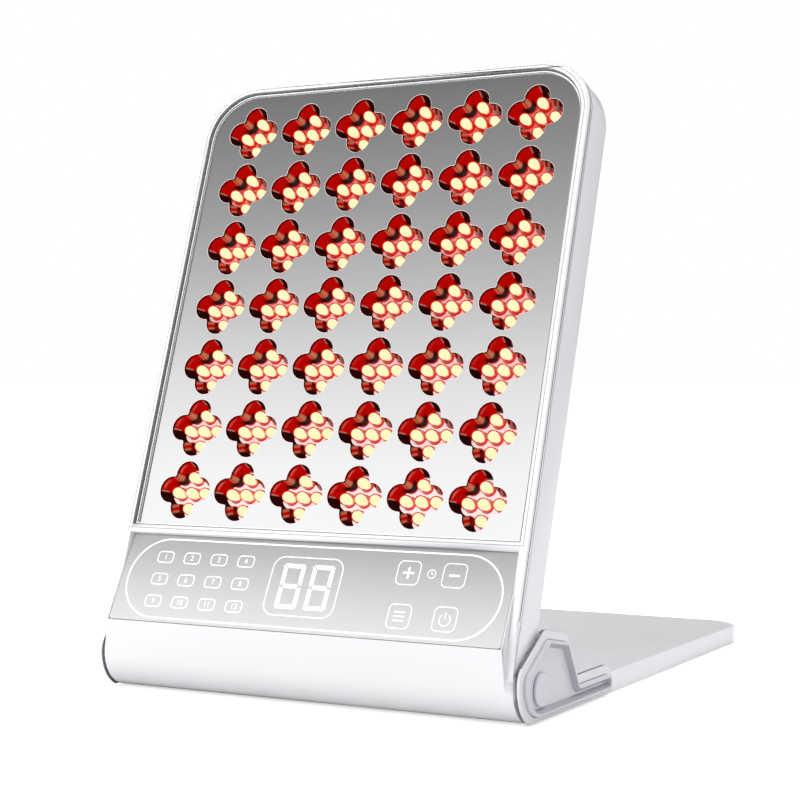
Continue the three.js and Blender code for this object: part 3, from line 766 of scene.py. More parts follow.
def brushed_group() -> NodeTree:
    """Fine parallel lines of a brushed or turned metal.

    Returns:
        The group.
    """
    inputs = {"Stretch": (4.0, 900.0, 900.0), "Depth": 1.0}
    wiring, given, end = new_group("Brushed lines", inputs, "Height", "Float")
    feeds = {0: wiring.place(), 1: given["Stretch"]}
    scaled = wiring.add("ShaderNodeVectorMath", feeds, operation="MULTIPLY").outputs[0]
    lines = wiring.add("ShaderNodeTexNoise", {"Vector": scaled, "Scale": 1.0, "Detail": 2.0})
    wiring.feed(end, {"Height": wiring.times(lines.outputs[0], given["Depth"])})
    return wiring.tree


@dataclass
class Effects:
    """The shared shader groups, each built once."""

    relief: NodeTree = field(default_factory=relief_group)
    drift: NodeTree = field(default_factory=drift_group)
    marks: NodeTree = field(default_factory=marks_group)
    brushed: NodeTree = field(default_factory=brushed_group)


class MaterialWiring(Wiring):
    """The wiring of one material, in which the shared groups are placed with its own values."""

    def __init__(self, tree: NodeTree, effects: Effects | None) -> None:
        """Starts with the tree emptied and the groups at hand."""
        super().__init__(tree)
        self.effects = effects

    def tone(self, colour: Socket | tuple, amount: float, scale: float = 14.0) -> Socket:
        """A colour that drifts a little in lightness."""
        feeds = {"Color": colour, "Amount": amount, "Scale": scale}
        return self.add("ShaderNodeGroup", feeds, node_tree=self.effects.drift).outputs[0]

    def wear(self, roughness: float, spread: float, scale: float = 30.0) -> Socket:
        """A roughness with handling marks."""
        feeds = {"Roughness": roughness, "Spread": spread, "Scale": scale}
        return self.add("ShaderNodeGroup", feeds, node_tree=self.effects.marks).outputs[0]

    def moulded(self, scale: float, strength: float, distance: float = 0.0002) -> Socket:
        """The normal of a moulded surface."""
        group = self.add("ShaderNodeGroup", {"Scale": scale}, node_tree=self.effects.relief)
        return self.bump(group.outputs[0], strength, distance)

    def lined(self, stretch: tuple, strength: float) -> Socket:
        """The normal of a brushed surface."""
        group = self.add("ShaderNodeGroup", {"Stretch": stretch}, node_tree=self.effects.brushed)
        return self.bump(group.outputs[0], strength, 0.0002)


def start_material(name: str, effects: Effects | None) -> tuple[Material, MaterialWiring, Node]:
    """A new material with its shader and output joined.

    Args:
        name: the material's name.
        effects: the shared shader groups, or none where the material needs none.

    Returns:
        The material, its wiring and its shader.
    """
    material = bpy.data.materials.new(name)
    material.use_nodes = True
    wiring = MaterialWiring(material.node_tree, effects)
    shader = wiring.add("ShaderNodeBsdfPrincipled")
    wiring.add("ShaderNodeOutputMaterial", {"Surface": shader.outputs[0]})
    return material, wiring, shader


# Finishes


@dataclass(frozen=True)
class Finish:
    """A finish, by its name."""

    name: str

    def make(self, effects: Effects) -> Material:
        """Builds the finish's material.

        Args:
            effects: the shared shader groups.

        Returns:
            The material.
        """
        material, wiring, shader = start_material(self.name, effects)
        wiring.feed(shader, self.looks(wiring))
        return material

    def looks(self, wiring: MaterialWiring) -> Feeds:
        """What the shader's inputs read, which each kind of finish gives."""
        raise NotImplementedError


@dataclass(frozen=True)
class MouldedPlastic(Finish):
    """Injection-moulded plastic, from high gloss to a fine spark texture."""

    colour: Colour
    roughness: float = 0.2
    spread: float = 0.06
    coat: float = 0.25
    grain_scale: float = 900.0
    grain: float = 0.05
    drift: float = 0.03
    # Painted glow: emission in the colour itself, for parts that show light they don't make.
    glow: float = 0.0

    def looks(self, wiring: MaterialWiring) -> Feeds:
        """Colour, worn gloss, clear coat, grain and any painted glow.

        Args:
            wiring: the material's wiring.

        Returns:
            What the shader's inputs read.
        """
        tone = wiring.tone(solid(self.colour), self.drift)
        return {
            "Base Color": tone,
            "Roughness": wiring.wear(self.roughness, self.spread),
            "Coat Weight": self.coat,
            "Coat Roughness": 0.08,
            "Emission Color": tone,
            "Emission Strength": self.glow,
            "Normal": wiring.moulded(self.grain_scale, self.grain),
        }


@dataclass(frozen=True)
class PlatedMirror(Finish):
    """Vacuum-plated plastic: a mirror with the faint waves of the moulding under it."""

    colour: Colour
    roughness: float = 0.03
    spread: float = 0.05
    wave: float = 0.02

    def looks(self, wiring: MaterialWiring) -> Feeds:
        """Plated colour, worn gloss and waves.

        Args:
            wiring: the material's wiring.

        Returns:
            What the shader's inputs read.
        """
        return {
            "Metallic": 1.0,
            "Base Color": wiring.tone(solid(self.colour), 0.02),
            "Roughness": wiring.wear(self.roughness, self.spread, 18.0),
            "Normal": wiring.moulded(60.0, self.wave, 0.0005),
        }


@dataclass(frozen=True)
class BrushedMetal(Finish):
    """Solid metal with a brushed, rolled or turned surface."""

    colour: Colour
    roughness: float = 0.3
    grain: Grain = Grain.ACROSS
    depth: float = 0.2

    def looks(self, wiring: MaterialWiring) -> Feeds:
        """Metal colour, worn gloss and brushed lines.

        Args:
            wiring: the material's wiring.

        Returns:
            What the shader's inputs read.
        """
        return {
            "Metallic": 1.0,
            "Base Color": wiring.tone(solid(self.colour), 0.12, 60.0),
            "Roughness": wiring.wear(self.roughness, 0.1),
            "Normal": wiring.lined(self.grain.value, self.depth),
        }


# Colours of the painted reflections on the plated cup walls; deep red is also the lamps' own red.
DEEP_RED: Colour = (0.43, 0.001, 0.0)
DARK_RED: Colour = (0.13, 0.004, 0.003)
REFLECTED_DARK: Colour = (0.004, 0.001, 0.001)
ROSE: Colour = (0.6, 0.2, 0.15)
AMBER: Colour = (0.5, 0.15, 0.075)
ASH: Colour = (0.3, 0.22, 0.2)
NOTCH_TURN = 0.375
# Painted reflections round a cup, read by the turn round its middle, in the outer and the inner half of
# the wall.
OUTER_REFLECTIONS: Stops = (
    (0.0, REFLECTED_DARK), (0.062, REFLECTED_DARK), (0.07, DARK_RED), (0.08, AMBER), (0.088, DARK_RED), (0.097, DARK_RED),
    (0.106, AMBER), (0.118, DARK_RED), (0.13, REFLECTED_DARK), (0.246, REFLECTED_DARK), (0.251, ROSE), (0.256, DEEP_RED),
    (0.352, DEEP_RED), (0.36, AMBER), (0.376, AMBER), (0.384, DEEP_RED), (0.39, AMBER),
    (0.398, DEEP_RED), (0.502, DEEP_RED), (0.508, ROSE), (0.515, REFLECTED_DARK), (0.636, REFLECTED_DARK), (0.65, AMBER),
    (0.66, DEEP_RED), (0.672, DEEP_RED), (0.684, AMBER), (0.694, REFLECTED_DARK), (1.0, REFLECTED_DARK),
)
INNER_REFLECTIONS: Stops = (
    (0.0, REFLECTED_DARK), (0.03, ASH), (0.06, DARK_RED), (0.1, ASH), (0.18, ASH), (0.215, REFLECTED_DARK), (0.248, REFLECTED_DARK),
    (0.26, DEEP_RED), (0.32, DEEP_RED), (0.34, REFLECTED_DARK), (0.37, (0.02, 0.015, 0.015)), (0.4, REFLECTED_DARK),
    (0.425, DARK_RED), (0.45, DEEP_RED), (0.5, DEEP_RED), (0.518, REFLECTED_DARK), (0.66, REFLECTED_DARK),
    (0.67, DARK_RED), (0.69, DARK_RED), (0.71, REFLECTED_DARK), (1.0, REFLECTED_DARK),
)
LIT_CHIP: Stops = (
    (0.0, (0.1, 0.01, 0.003)), (0.2, (0.14, 0.012, 0.003)), (0.34, (0.3, 0.004, 0.001)),
    (0.46, DEEP_RED), (0.58, (0.5, 0.003, 0.001)), (0.615, (0.72, 0.06, 0.02)),
    (0.64, (0.93, 0.28, 0.12)), (0.665, (0.98, 0.6, 0.3)), (0.7, (1.0, 0.84, 0.48)),
    (0.76, (1.0, 0.94, 0.55)),
)


@dataclass(frozen=True)
class RubyLens(Finish):
    """Red LED lens with the image of its lit chip, drawn on the lens's own UV map.

    The map's y is the height and its x the way across, along which the image sits off the middle.
    The glow reaches further down the lens in the lower rows.
    """

    image: Stops
    colour: Colour = (0.2, 0.004, 0.003)
    low: float = 0.1
    high: float = 0.24
    rim_power: float = 1.5
    rim_share: float = 0.6
    up_share: float = 0.55
    across_share: float = 0.56
    row_share: float = 0.06
    offset: float = 0.15

    def looks(self, wiring: MaterialWiring) -> Feeds:
        """The lit image over a red glass.

        Args:
            wiring: the material's wiring.

        Returns:
            What the shader's inputs read.
        """
        parts = wiring.parts(wiring.chart("rise"))
        rim = wiring.add("ShaderNodeLayerWeight", {"Blend": 0.5}).outputs["Facing"]
        turned = wiring.times(wiring.maths("POWER", rim, self.rim_power), self.rim_share)
        raised = wiring.maths("SUBTRACT", wiring.times(parts["Y"], self.up_share), turned)
        leaning = wiring.maths("ADD", raised, wiring.times(parts["X"], self.across_share))
        height = wiring.height_between(self.low, self.high)
        inner = wiring.maths("SUBTRACT", leaning, wiring.times(height, self.row_share))
        return {
            "Emission Color": wiring.ramp(wiring.maths("ADD", inner, self.offset), self.image),
            "Emission Strength": 1.0,
            "Base Color": wiring.tone(solid(self.colour), 0.1),
            "Roughness": wiring.wear(0.14, 0.04),
        }


@dataclass(frozen=True)
class CupWall(Finish):
    """Plated cup wall with painted reflections of the red lamps, drawn on the cup's own UV map.

    The map's x is the turn round the cup's middle and its y is the depth below the plate's face.
    The outer half shows one run of painted reflections round the cup and the inner half another, and
    both lean away from the upper left notch with the depth. Near the lip, a painted pink band lies on
    two spans round the cup in the lower rows, and a painted shade darkens the wall.
    """

    outer: Stops
    inner: Stops
    colour: Colour = (0.03, 0.002, 0.002)
    sheen: Colour = (0.35, 0.12, 0.09)
    lean: float = 0.16
    low: float = 0.09
    high: float = 0.2

    def looks(self, wiring: MaterialWiring) -> Feeds:
        """The painted reflections of the reds, as emission over a dark wall, with the painted band and
        shade.

        Args:
            wiring: the material's wiring.

        Returns:
            What the shader's inputs read.
        """
        parts = wiring.parts(wiring.chart("cup"))
        depth = parts["Y"]
        slant = wiring.maths("ADD", wiring.times(depth, self.lean), 1.0)
        away = wiring.times(wiring.maths("SUBTRACT", parts["X"], NOTCH_TURN), slant)
        turn = wiring.maths("ADD", away, NOTCH_TURN)
        deep = wiring.ramp(depth, greys((0.0, 0.0), (0.56, 0.0), (0.68, 1.0), (1.0, 1.0)))
        mirrored = wiring.mix(deep, wiring.ramp(turn, self.outer), wiring.ramp(turn, self.inner))
        # Painted pink band of reflection near the lip, on two spans round the cup, stronger in the lower
        # rows.
        band = wiring.ramp(depth, greys((0.0, 0.0), (0.14, 0.0), (0.25, 1.0), (0.36, 0.0), (1.0, 0.0)))
        sides = wiring.ramp(turn, greys(
            (0.0, 0.0), (0.28, 0.0), (0.31, 1.0), (0.34, 1.0), (0.35, 0.0),
            (0.42, 0.0), (0.45, 1.0), (0.48, 1.0), (0.5, 0.0), (1.0, 0.0),
        ))
        rows = wiring.maths("SUBTRACT", 1.0, wiring.height_between(self.low, self.high))
        soft = wiring.times(wiring.times(band, sides), rows)
        painted_reflection_banded = wiring.mix(soft, mirrored, solid(self.sheen), "ADD")
        # Painted shade: a dark band just under the lip.
        painted_lip_shade = greys((0.0, 0.04), (0.08, 0.07), (0.16, 0.85), (0.22, 1.0), (1.0, 1.0))
        return {
            "Emission Color": wiring.mix(1.0, painted_reflection_banded, wiring.ramp(depth, painted_lip_shade), "MULTIPLY"),
            "Emission Strength": 1.0,
            "Base Color": wiring.tone(solid(self.colour), 0.1),
            "Specular IOR Level": 0.0,
            "Roughness": wiring.wear(0.3, 0.06),
        }


@dataclass(frozen=True)
class LitBoard(Finish):
    """White solder mask with the red light of the LEDs on it painted as emission, redder towards the top
    rows.

    The board's own UV map counts the LEDs' spacings, so that each whole number is an LED's middle.
    """

    colour: Colour
    # Colours of the painted red light at the foot and at the top, and of the painted glow ring.
    low_glow: Colour
    high_glow: Colour
    ring: Colour = DEEP_RED
    widening: float = 0.045
    low: float = 0.1
    high: float = 0.3

    def looks(self, wiring: MaterialWiring) -> Feeds:
        """The painted red light, with a painted red glow ring round the foot of each LED.

        Args:
            wiring: the material's wiring.

        Returns:
            What the shader's inputs read.
        """
        height = wiring.height_between(self.low, self.high)
        painted_red_light = wiring.mix(height, solid(self.low_glow), solid(self.high_glow))
        steps = wiring.chart("spacings")
        for operation, value in (("ADD", 0.5), ("FRACTION", 0.0), ("SUBTRACT", 0.5), ("LENGTH", 0.0)):
            feeds = {0: steps, 1: (value, value, 0.0)}
            node = wiring.add("ShaderNodeVectorMath", feeds, operation=operation)
            steps = node.outputs["Value" if operation == "LENGTH" else "Vector"]
        wider = wiring.times(wiring.maths("SUBTRACT", 1.0, height), self.widening)
        away = wiring.maths("ADD", steps, wider)
        bare = wiring.ramp(away, greys((0.0, 0.0), (0.46, 0.0), (0.5, 1.0), (1.0, 1.0)))
        return {
            "Base Color": wiring.tone(solid(self.colour), 0.1, 300.0),
            "Emission Color": wiring.mix(bare, solid(self.ring), painted_red_light),
            "Emission Strength": 1.0,
            "Roughness": 0.35,
            "Normal": wiring.moulded(500.0, 0.1),
        }


@dataclass(frozen=True)
class FadedPanelPaint(Finish):
    """Silver paint behind a clear gloss plate, fading from grey at the top to pale at the foot."""

    low: float
    high: float
    stops: Stops

    def looks(self, wiring: MaterialWiring) -> Feeds:
        """Fading paint with a fine flake under a clear coat.

        Args:
            wiring: the material's wiring.

        Returns:
            What the shader's inputs read.
        """
        fade = wiring.ramp(wiring.height_between(self.low, self.high), self.stops)
        return {
            "Base Color": wiring.tone(fade, 0.02),
            "Roughness": wiring.wear(0.25, 0.02),
            "Coat Weight": 0.5,
            "Coat Roughness": 0.04,
            "Normal": wiring.moulded(4000.0, 0.03, 0.0001),
        }


@dataclass(frozen=True)
class BacklitPrint(Finish):
    """White print that lets a little light through."""

    colour: Colour = (0.95, 0.95, 0.96)
    glow: float = 0.3

    def looks(self, wiring: MaterialWiring) -> Feeds:
        """Printed white with a faint glow.

        Args:
            wiring: the material's wiring.

        Returns:
            What the shader's inputs read.
        """
        tone = wiring.tone(solid(self.colour), 0.04, 200.0)
        return {
            "Base Color": tone,
            "Emission Color": tone,
            "Emission Strength": self.glow,
            "Roughness": wiring.wear(0.35, 0.1, 200.0),
        }


@dataclass(frozen=True)
class CircuitBoard(Finish):
    """Green solder mask with its copper tracks showing through."""

    mask: Colour = (0.02, 0.13, 0.06)
    track: Colour = (0.05, 0.24, 0.1)

    def looks(self, wiring: MaterialWiring) -> Feeds:
        """Solder mask with raised tracks.

        Args:
            wiring: the material's wiring.

        Returns:
            What the shader's inputs read.
        """
        tracks = wiring.add("ShaderNodeTexBrick", {
            "Vector": wiring.place(),
            "Scale": 120.0,
            "Mortar Size": 0.06,
            "Color1": solid(self.mask),
            "Color2": solid(tuple(0.8 * part for part in self.mask)),
            "Mortar": solid(self.track),
        }, offset=0.35, squash=0.6)
        return {
            "Base Color": tracks.outputs["Color"],
            "Roughness": 0.3,
            "Normal": wiring.bump(tracks.outputs["Fac"], 0.3, 0.0001),
        }


@dataclass
class Finishes:
    """Every finish of the panel, built once."""

    effects: Effects

    def __post_init__(self) -> None:
        """Builds the materials."""
        effects = self.effects
        white = (0.93, 0.93, 0.94)
        self.body = MouldedPlastic("white gloss body", white, 0.2, 0.02, 0.3, grain=0.02).make(effects)
        # Painted shade: the ear covers and plugs are the body's white plastic drawn darker and cooler.
        self.cover = MouldedPlastic("ear cover gloss", (0.72, 0.71, 0.75), 0.2, 0.03, 0.3).make(effects)
        # Painted shade for the cover's recess walls and the console's tray.
        self.recess = MouldedPlastic(
            "ear recess walls", (0.46, 0.455, 0.49), 0.35, 0.03, 0.1,
        ).make(effects)
        # Painted shade: the ears are the body's white plastic drawn a little darker.
        self.ear = MouldedPlastic(
            "ear gloss", (0.83, 0.83, 0.85), 0.2, 0.02, 0.3, grain=0.02,
        ).make(effects)
        # Painted shade on the walls of narrow gaps: round the window, at the trim's sides and in the
        # ear's gap.
        self.shadow = MouldedPlastic("window wall", (0.22, 0.22, 0.225), 0.5, 0.03, 0.0).make(effects)
        # Painted shade in the seams, along the console's lower edge and in the lines round the window.
        self.gap = MouldedPlastic("shadow gap", (0.1, 0.1, 0.105), 0.6, 0.05, 0.0).make(effects)
        self.underside = MouldedPlastic(
            "white spark texture", (0.86, 0.86, 0.87), 0.5, 0.1, 0.0, 1600.0, 0.5,
        ).make(effects)
        self.black = MouldedPlastic(
            "black plastic", (0.02, 0.02, 0.022), 0.42, 0.1, 0.0, 1800.0, 0.4,
        ).make(effects)
        self.rubber = MouldedPlastic(
            "grey rubber", (0.28, 0.28, 0.285), 0.75, 0.15, 0.0, 1200.0, 0.8, 0.15,
        ).make(effects)
        self.mirror = PlatedMirror("plated mirror", white).make(effects)
        # Painted reflections: the cup walls show the red lamps and the dark surroundings as emission.
        self.cup = CupWall("cup wall mirror", OUTER_REFLECTIONS, INNER_REFLECTIONS).make(effects)
        # Painted light: the lip's pink tint and glow stand in for the red lamps' light falling on it.
        self.lip = MouldedPlastic("cup lip", (0.9, 0.74, 0.72), 0.5, 0.05, 0.0, glow=0.35).make(effects)
        # Painted light: a faint glow keeps the trim white.
        self.trim = MouldedPlastic(
            "pale trim", (0.9, 0.9, 0.91), 0.35, 0.03, 0.1, glow=0.3,
        ).make(effects)
        self.steel = BrushedMetal("screw steel", (0.56, 0.57, 0.59), 0.28, Grain.EVEN, 0.3).make(effects)
        self.brass = BrushedMetal(
            "turned brass", (0.72, 0.52, 0.22), 0.3, Grain.ACROSS, 0.3,
        ).make(effects)
        self.aluminium = BrushedMetal(
            "rolled aluminium", (0.7, 0.7, 0.72), 0.35, Grain.UPRIGHT, 0.3,
        ).make(effects)
        self.lens = RubyLens("ruby lens", LIT_CHIP).make(effects)
        # Painted light: the board shows the LEDs' red light painted as emission.
        self.board = LitBoard(
            "lit board", (0.3, 0.14, 0.14), (0.86, 0.74, 0.75), (0.72, 0.1, 0.07),
        ).make(effects)
        self.print = BacklitPrint("white print").make(effects)
        self.digits = BacklitPrint("display digits", (0.98, 0.98, 0.98), 0.6).make(effects)
        self.circuit = CircuitBoard("green board").make(effects)


# The panel's own frames, in millimetres


@dataclass(frozen=True)
class Frames:
    """Matrices from the millimetre frames of the panel, the console and the hinge to the row frame."""

    pivot: Vector
    lean: float = math.radians(18.81)
    seam_height: float = 10.0
    seam_plane: float = 28.1
    console_tilt: float = math.atan2(19.8 - 28.1, 60.8 - 10.0)

    @property
    def row(self) -> Matrix:
        """The row frame itself, for what is in it already."""
        return Matrix.Identity(4)

    @property
    def ground(self) -> Matrix:
        """Frame of the base: y from the hinge axis, z from the floor."""
        return Matrix.Translation((self.pivot.x, self.pivot.y, 0)) @ Matrix.Scale(MM, 4)

    @property
    def panel(self) -> Matrix:
        """Frame of the panel: x across, y up it and z out of its front, from the hinge axis."""
        turn = Matrix.Rotation(math.pi / 2 - self.lean, 4, "X")
        return Matrix.Translation(self.pivot) @ turn @ Matrix.Scale(MM, 4)

    @property
    def console(self) -> Matrix:
        """Frame of the console's surface: x across, y up it from the seam."""
        seam = Matrix.Translation((0, self.seam_height, self.seam_plane))
        return self.panel @ seam @ Matrix.Rotation(self.console_tilt, 4, "X")

    def side(self, side: Side) -> Matrix:
        """Frame of one side: x back from the hinge axis, y up from the floor, z outwards.

        Args:
            side: the side.

        Returns:
            The frame's matrix; the left side's mirrors.
        """
        turn = Matrix(((0, 0, 1, 0), (1, 0, 0, 0), (0, 1, 0, 0), (0, 0, 0, 1)))
        mirror = Matrix.Diagonal((side.value, 1, 1, 1))
        return self.ground @ mirror @ turn


@dataclass
class SubAssembly:
    """What every sub-assembly is built from: the CAD frame, its matrices and the finishes."""

    frame: dict
    frames: Frames
    finishes: Finishes

    def skin(self, node: str, corner: Place | None, place: Matrix, angle: float) -> Piece:
        """A smooth skin over a large moulding of the CAD.

        Args:
            node: the CAD node.
            corner: the centre of the arcs at its right corner, which are refined on both sides.
            place: the matrix from the frame in which that corner lies flat.
            angle: the angle in degrees from which an edge stays sharp.

        Returns:
            The skin.
        """
        skin = skin_of(self.frame["nodes"][node], f"{node}_skin")
        if corner is not None:
            for sign in (-1, 1):
                refine_corner(skin, place, (sign * corner[0], corner[1]))
        shade(skin, angle)
        return skin

    def dress(self, finish: Material, *nodes: str) -> None:
        """Gives CAD nodes that stay as they are a better material.

        Args:
            finish: the material.
            nodes: the nodes.
        """
        for name in nodes:
            materials = self.frame["nodes"][name].data.materials
            materials.clear()
            materials.append(finish)
            log.info("%s keeps its CAD shape", name)


@dataclass
class Screw:
    """Pan-head screw with a cross recess, its head's face at height 0 and its shank upwards."""

    head_radius: float = 2.8
    head_height: float = 1.5
    shank_radius: float = 1.5
    length: float = 9.0
    recess: float = 0.9
    slot: Place = (1.7, 0.35)
    slot_radius: float = 0.12
    crown: Profile = ((-0.7, 0.0), (-0.25, 0.12), (0.0, 0.45))
    tip: Place = (0.4, 0.5)

    def build(self, name: str) -> Piece:
        """Builds the screw in millimetres.

        Args:
            name: the screw's name.

        Returns:
            The screw.
        """
        head, shank, top = self.head_radius, self.shank_radius, self.head_height
        end = top + self.length
        profile = [(head + inset, height) for inset, height in self.crown]
        profile += [(head, top), (shank, top), (shank, end - self.tip[1]), (shank - self.tip[0], end)]
        screw = stack(name, turned(tuple(profile), 28))
        for wide, tall in (self.slot, self.slot[::-1]):
            corners = box_corners(-wide, -tall, wide, tall, self.slot_radius)
            carve(screw, plate("recess", rounded(corners), -1.0, self.recess))
        shade(screw, 35)
        return screw


@dataclass
class Window:
    """The opening in the front frame, in which the mirror plate lies."""

    half: float = 117.9
    low: float = 65.5
    high: float = 326.7
    radius: float = 27.9
    centre: float = 194.4

    def corners(self, foot: float = 0.0) -> list[Corner]:
        """Corners of the window, the lower ones with a radius of their own."""
        upper = [(self.half, self.high, self.radius), (-self.half, self.high, self.radius)]
        return [(-self.half, self.low, foot), (self.half, self.low, foot), *upper]

    def holds(self, point: Vector, edge: float) -> bool:
        """Whether a point lies in the window, away from its edge."""
        return abs(point.x) < self.half - edge and self.low + edge < point.y < self.high - edge


@dataclass
class Housing(SubAssembly):
    """The panel's white shell: front frame, rear shell, their screws and the DC inlet."""

    window: Window = field(default_factory=Window)
    corner_centre: Place = (90.0, 298.8)
    back: float = -4.7
    front: float = 23.0
    groove_reach: float = 32.2
    groove_levels: Place = (20.85, 21.65)
    parting_levels: Place = (18.6, 19.2)
    wall_levels: Place = (20.0, 22.97)
    tray_half: float = 118.6
    tray_rows: Place = (-0.3, 54.0)
    tray_levels: Place = (-6.0, -0.15)
    crossbar: float = 60.0
    # Painted shadow lines round the window: their distance out and width, then their depth into the face
    # and height over it.
    lines: Profile = ((0.22, 0.36), (2.2, 0.2))
    line_depth: float = 0.16
    line_height: float = 0.03
    post_places: tuple[float, float, float] = (72.0, 104.4, 284.4)
    frame_screws: Place = (100.0, 46.0)
    inlet: Place = (62.0, 40.0)
    barrel: Profile = (
        (4.3, 11.0), (4.6, 10.7), (4.6, 4.7), (6.5, 4.7), (6.5, 2.7), (4.6, 2.7), (4.6, 0.25),
        (4.35, 0.0), (3.45, 0.0), (3.25, 0.25), (3.25, 9.0),
    )
    pin: Profile = ((1.05, 9.2), (1.05, 1.7), (0.85, 1.35), (0.45, 1.2))

    def build(self) -> None:
        """Builds and dresses the shell."""
        places, finishes = self.frames, self.finishes
        for node in ("front_frame", "rear_shell"):
            skin = self.skin(node, self.corner_centre, places.panel, 50)
            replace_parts(settle(skin, places.row, "panel", finishes.body), node)
            # Painted shade: dark finishes on the groove and the parting between frame and shell, on the
            # frame's wall round the window and in the console's tray under the plate.
            line_gap(skin, places.panel, finishes.gap, self.in_seam)
            line_gap(skin, places.panel, finishes.shadow, self.in_window)
            line_gap(skin, places.console, finishes.recess, self.in_tray)
        self.build_hairlines()
        self.build_screws()
        self.build_inlet()

    def build_hairlines(self) -> None:
        """Two hair-thin painted shadow lines on the frame's face, round the window."""
        corners = self.window.corners()
        low, high = self.front - self.line_depth, self.front + self.line_height
        lines = []
        for away, width in self.lines:
            outer, inner = (rounded(corners, away + sign * width / 2) for sign in (1, -1))
            lines.append(hoop("line", outer, inner, low, high))
        frame_lines = joined("frame_hairlines", lines)
        settle(frame_lines, self.frames.panel, "panel", self.finishes.gap)

    def in_seam(self, middle: Vector, normal: Vector) -> bool:
        """Whether a face lines the groove or the parting between frame and shell.

        Args:
            middle: the face's middle.
            normal: its normal.

        Returns:
            Whether it does.
        """
        x, y = self.corner_centre
        reach = Vector((max(abs(middle.x) - x, 0), max(middle.y - y, 0))).length
        grooved = in_range(middle.z, self.groove_levels) and reach > self.groove_reach
        parted = in_range(middle.z, self.parting_levels) and abs(normal.z) > LEVEL
        return middle.y > self.crossbar and (grooved or parted)

    def in_window(self, middle: Vector, normal: Vector) -> bool:
        """Whether a face is the frame's own wall round the window.

        Args:
            middle: the face's middle.
            normal: its normal.

        Returns:
            Whether it is.
        """
        inwards = normal.x * middle.x + normal.y * (middle.y - self.window.centre) < 0
        wall = in_range(middle.z, self.wall_levels) and abs(normal.z) < STEEP
        return wall and inwards and middle.y > self.crossbar + 2

    def in_tray(self, middle: Vector, normal: Vector) -> bool:
        """Whether a face lies in the console's tray, under the plate, and doesn't look sideways.

        Args:
            middle: the face's middle.
            normal: its normal.

        Returns:
            Whether it does.
        """
        inside = abs(middle.x) < self.tray_half and in_range(middle.y, self.tray_rows)
        return inside and in_range(middle.z, self.tray_levels) and abs(normal.x) < STEEP

    def build_screws(self) -> None:
        """Sets one screw in each hole of the back."""
        places = four_places(*self.post_places)
        places += [(-self.frame_screws[0], self.frame_screws[1]), self.frame_screws]
        screws = repeated(Screw().build("screw_blank"), "back_screw", places, self.back + SLIT)
        for index, screw in enumerate(screws, 1):
            settle(screw, self.frames.panel, "panel", self.finishes.steel)
            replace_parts(screw, f"rear_screw_{index}")

    def build_inlet(self) -> None:
        """The DC inlet: a black barrel with its rim, and the metal centre pin in it."""
        finishes = self.finishes
        body = stack("inlet_barrel", turned(self.barrel, 40, self.inlet, self.back))
        shade(body, 35)
        place = self.frames.panel
        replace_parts(settle(body, place, "panel", finishes.black), "dc_inlet")
        core = stack("inlet_pin", turned(self.pin, 20, self.inlet, self.back))
        shade(core, 35)
        settle(core, place, "panel", finishes.steel)


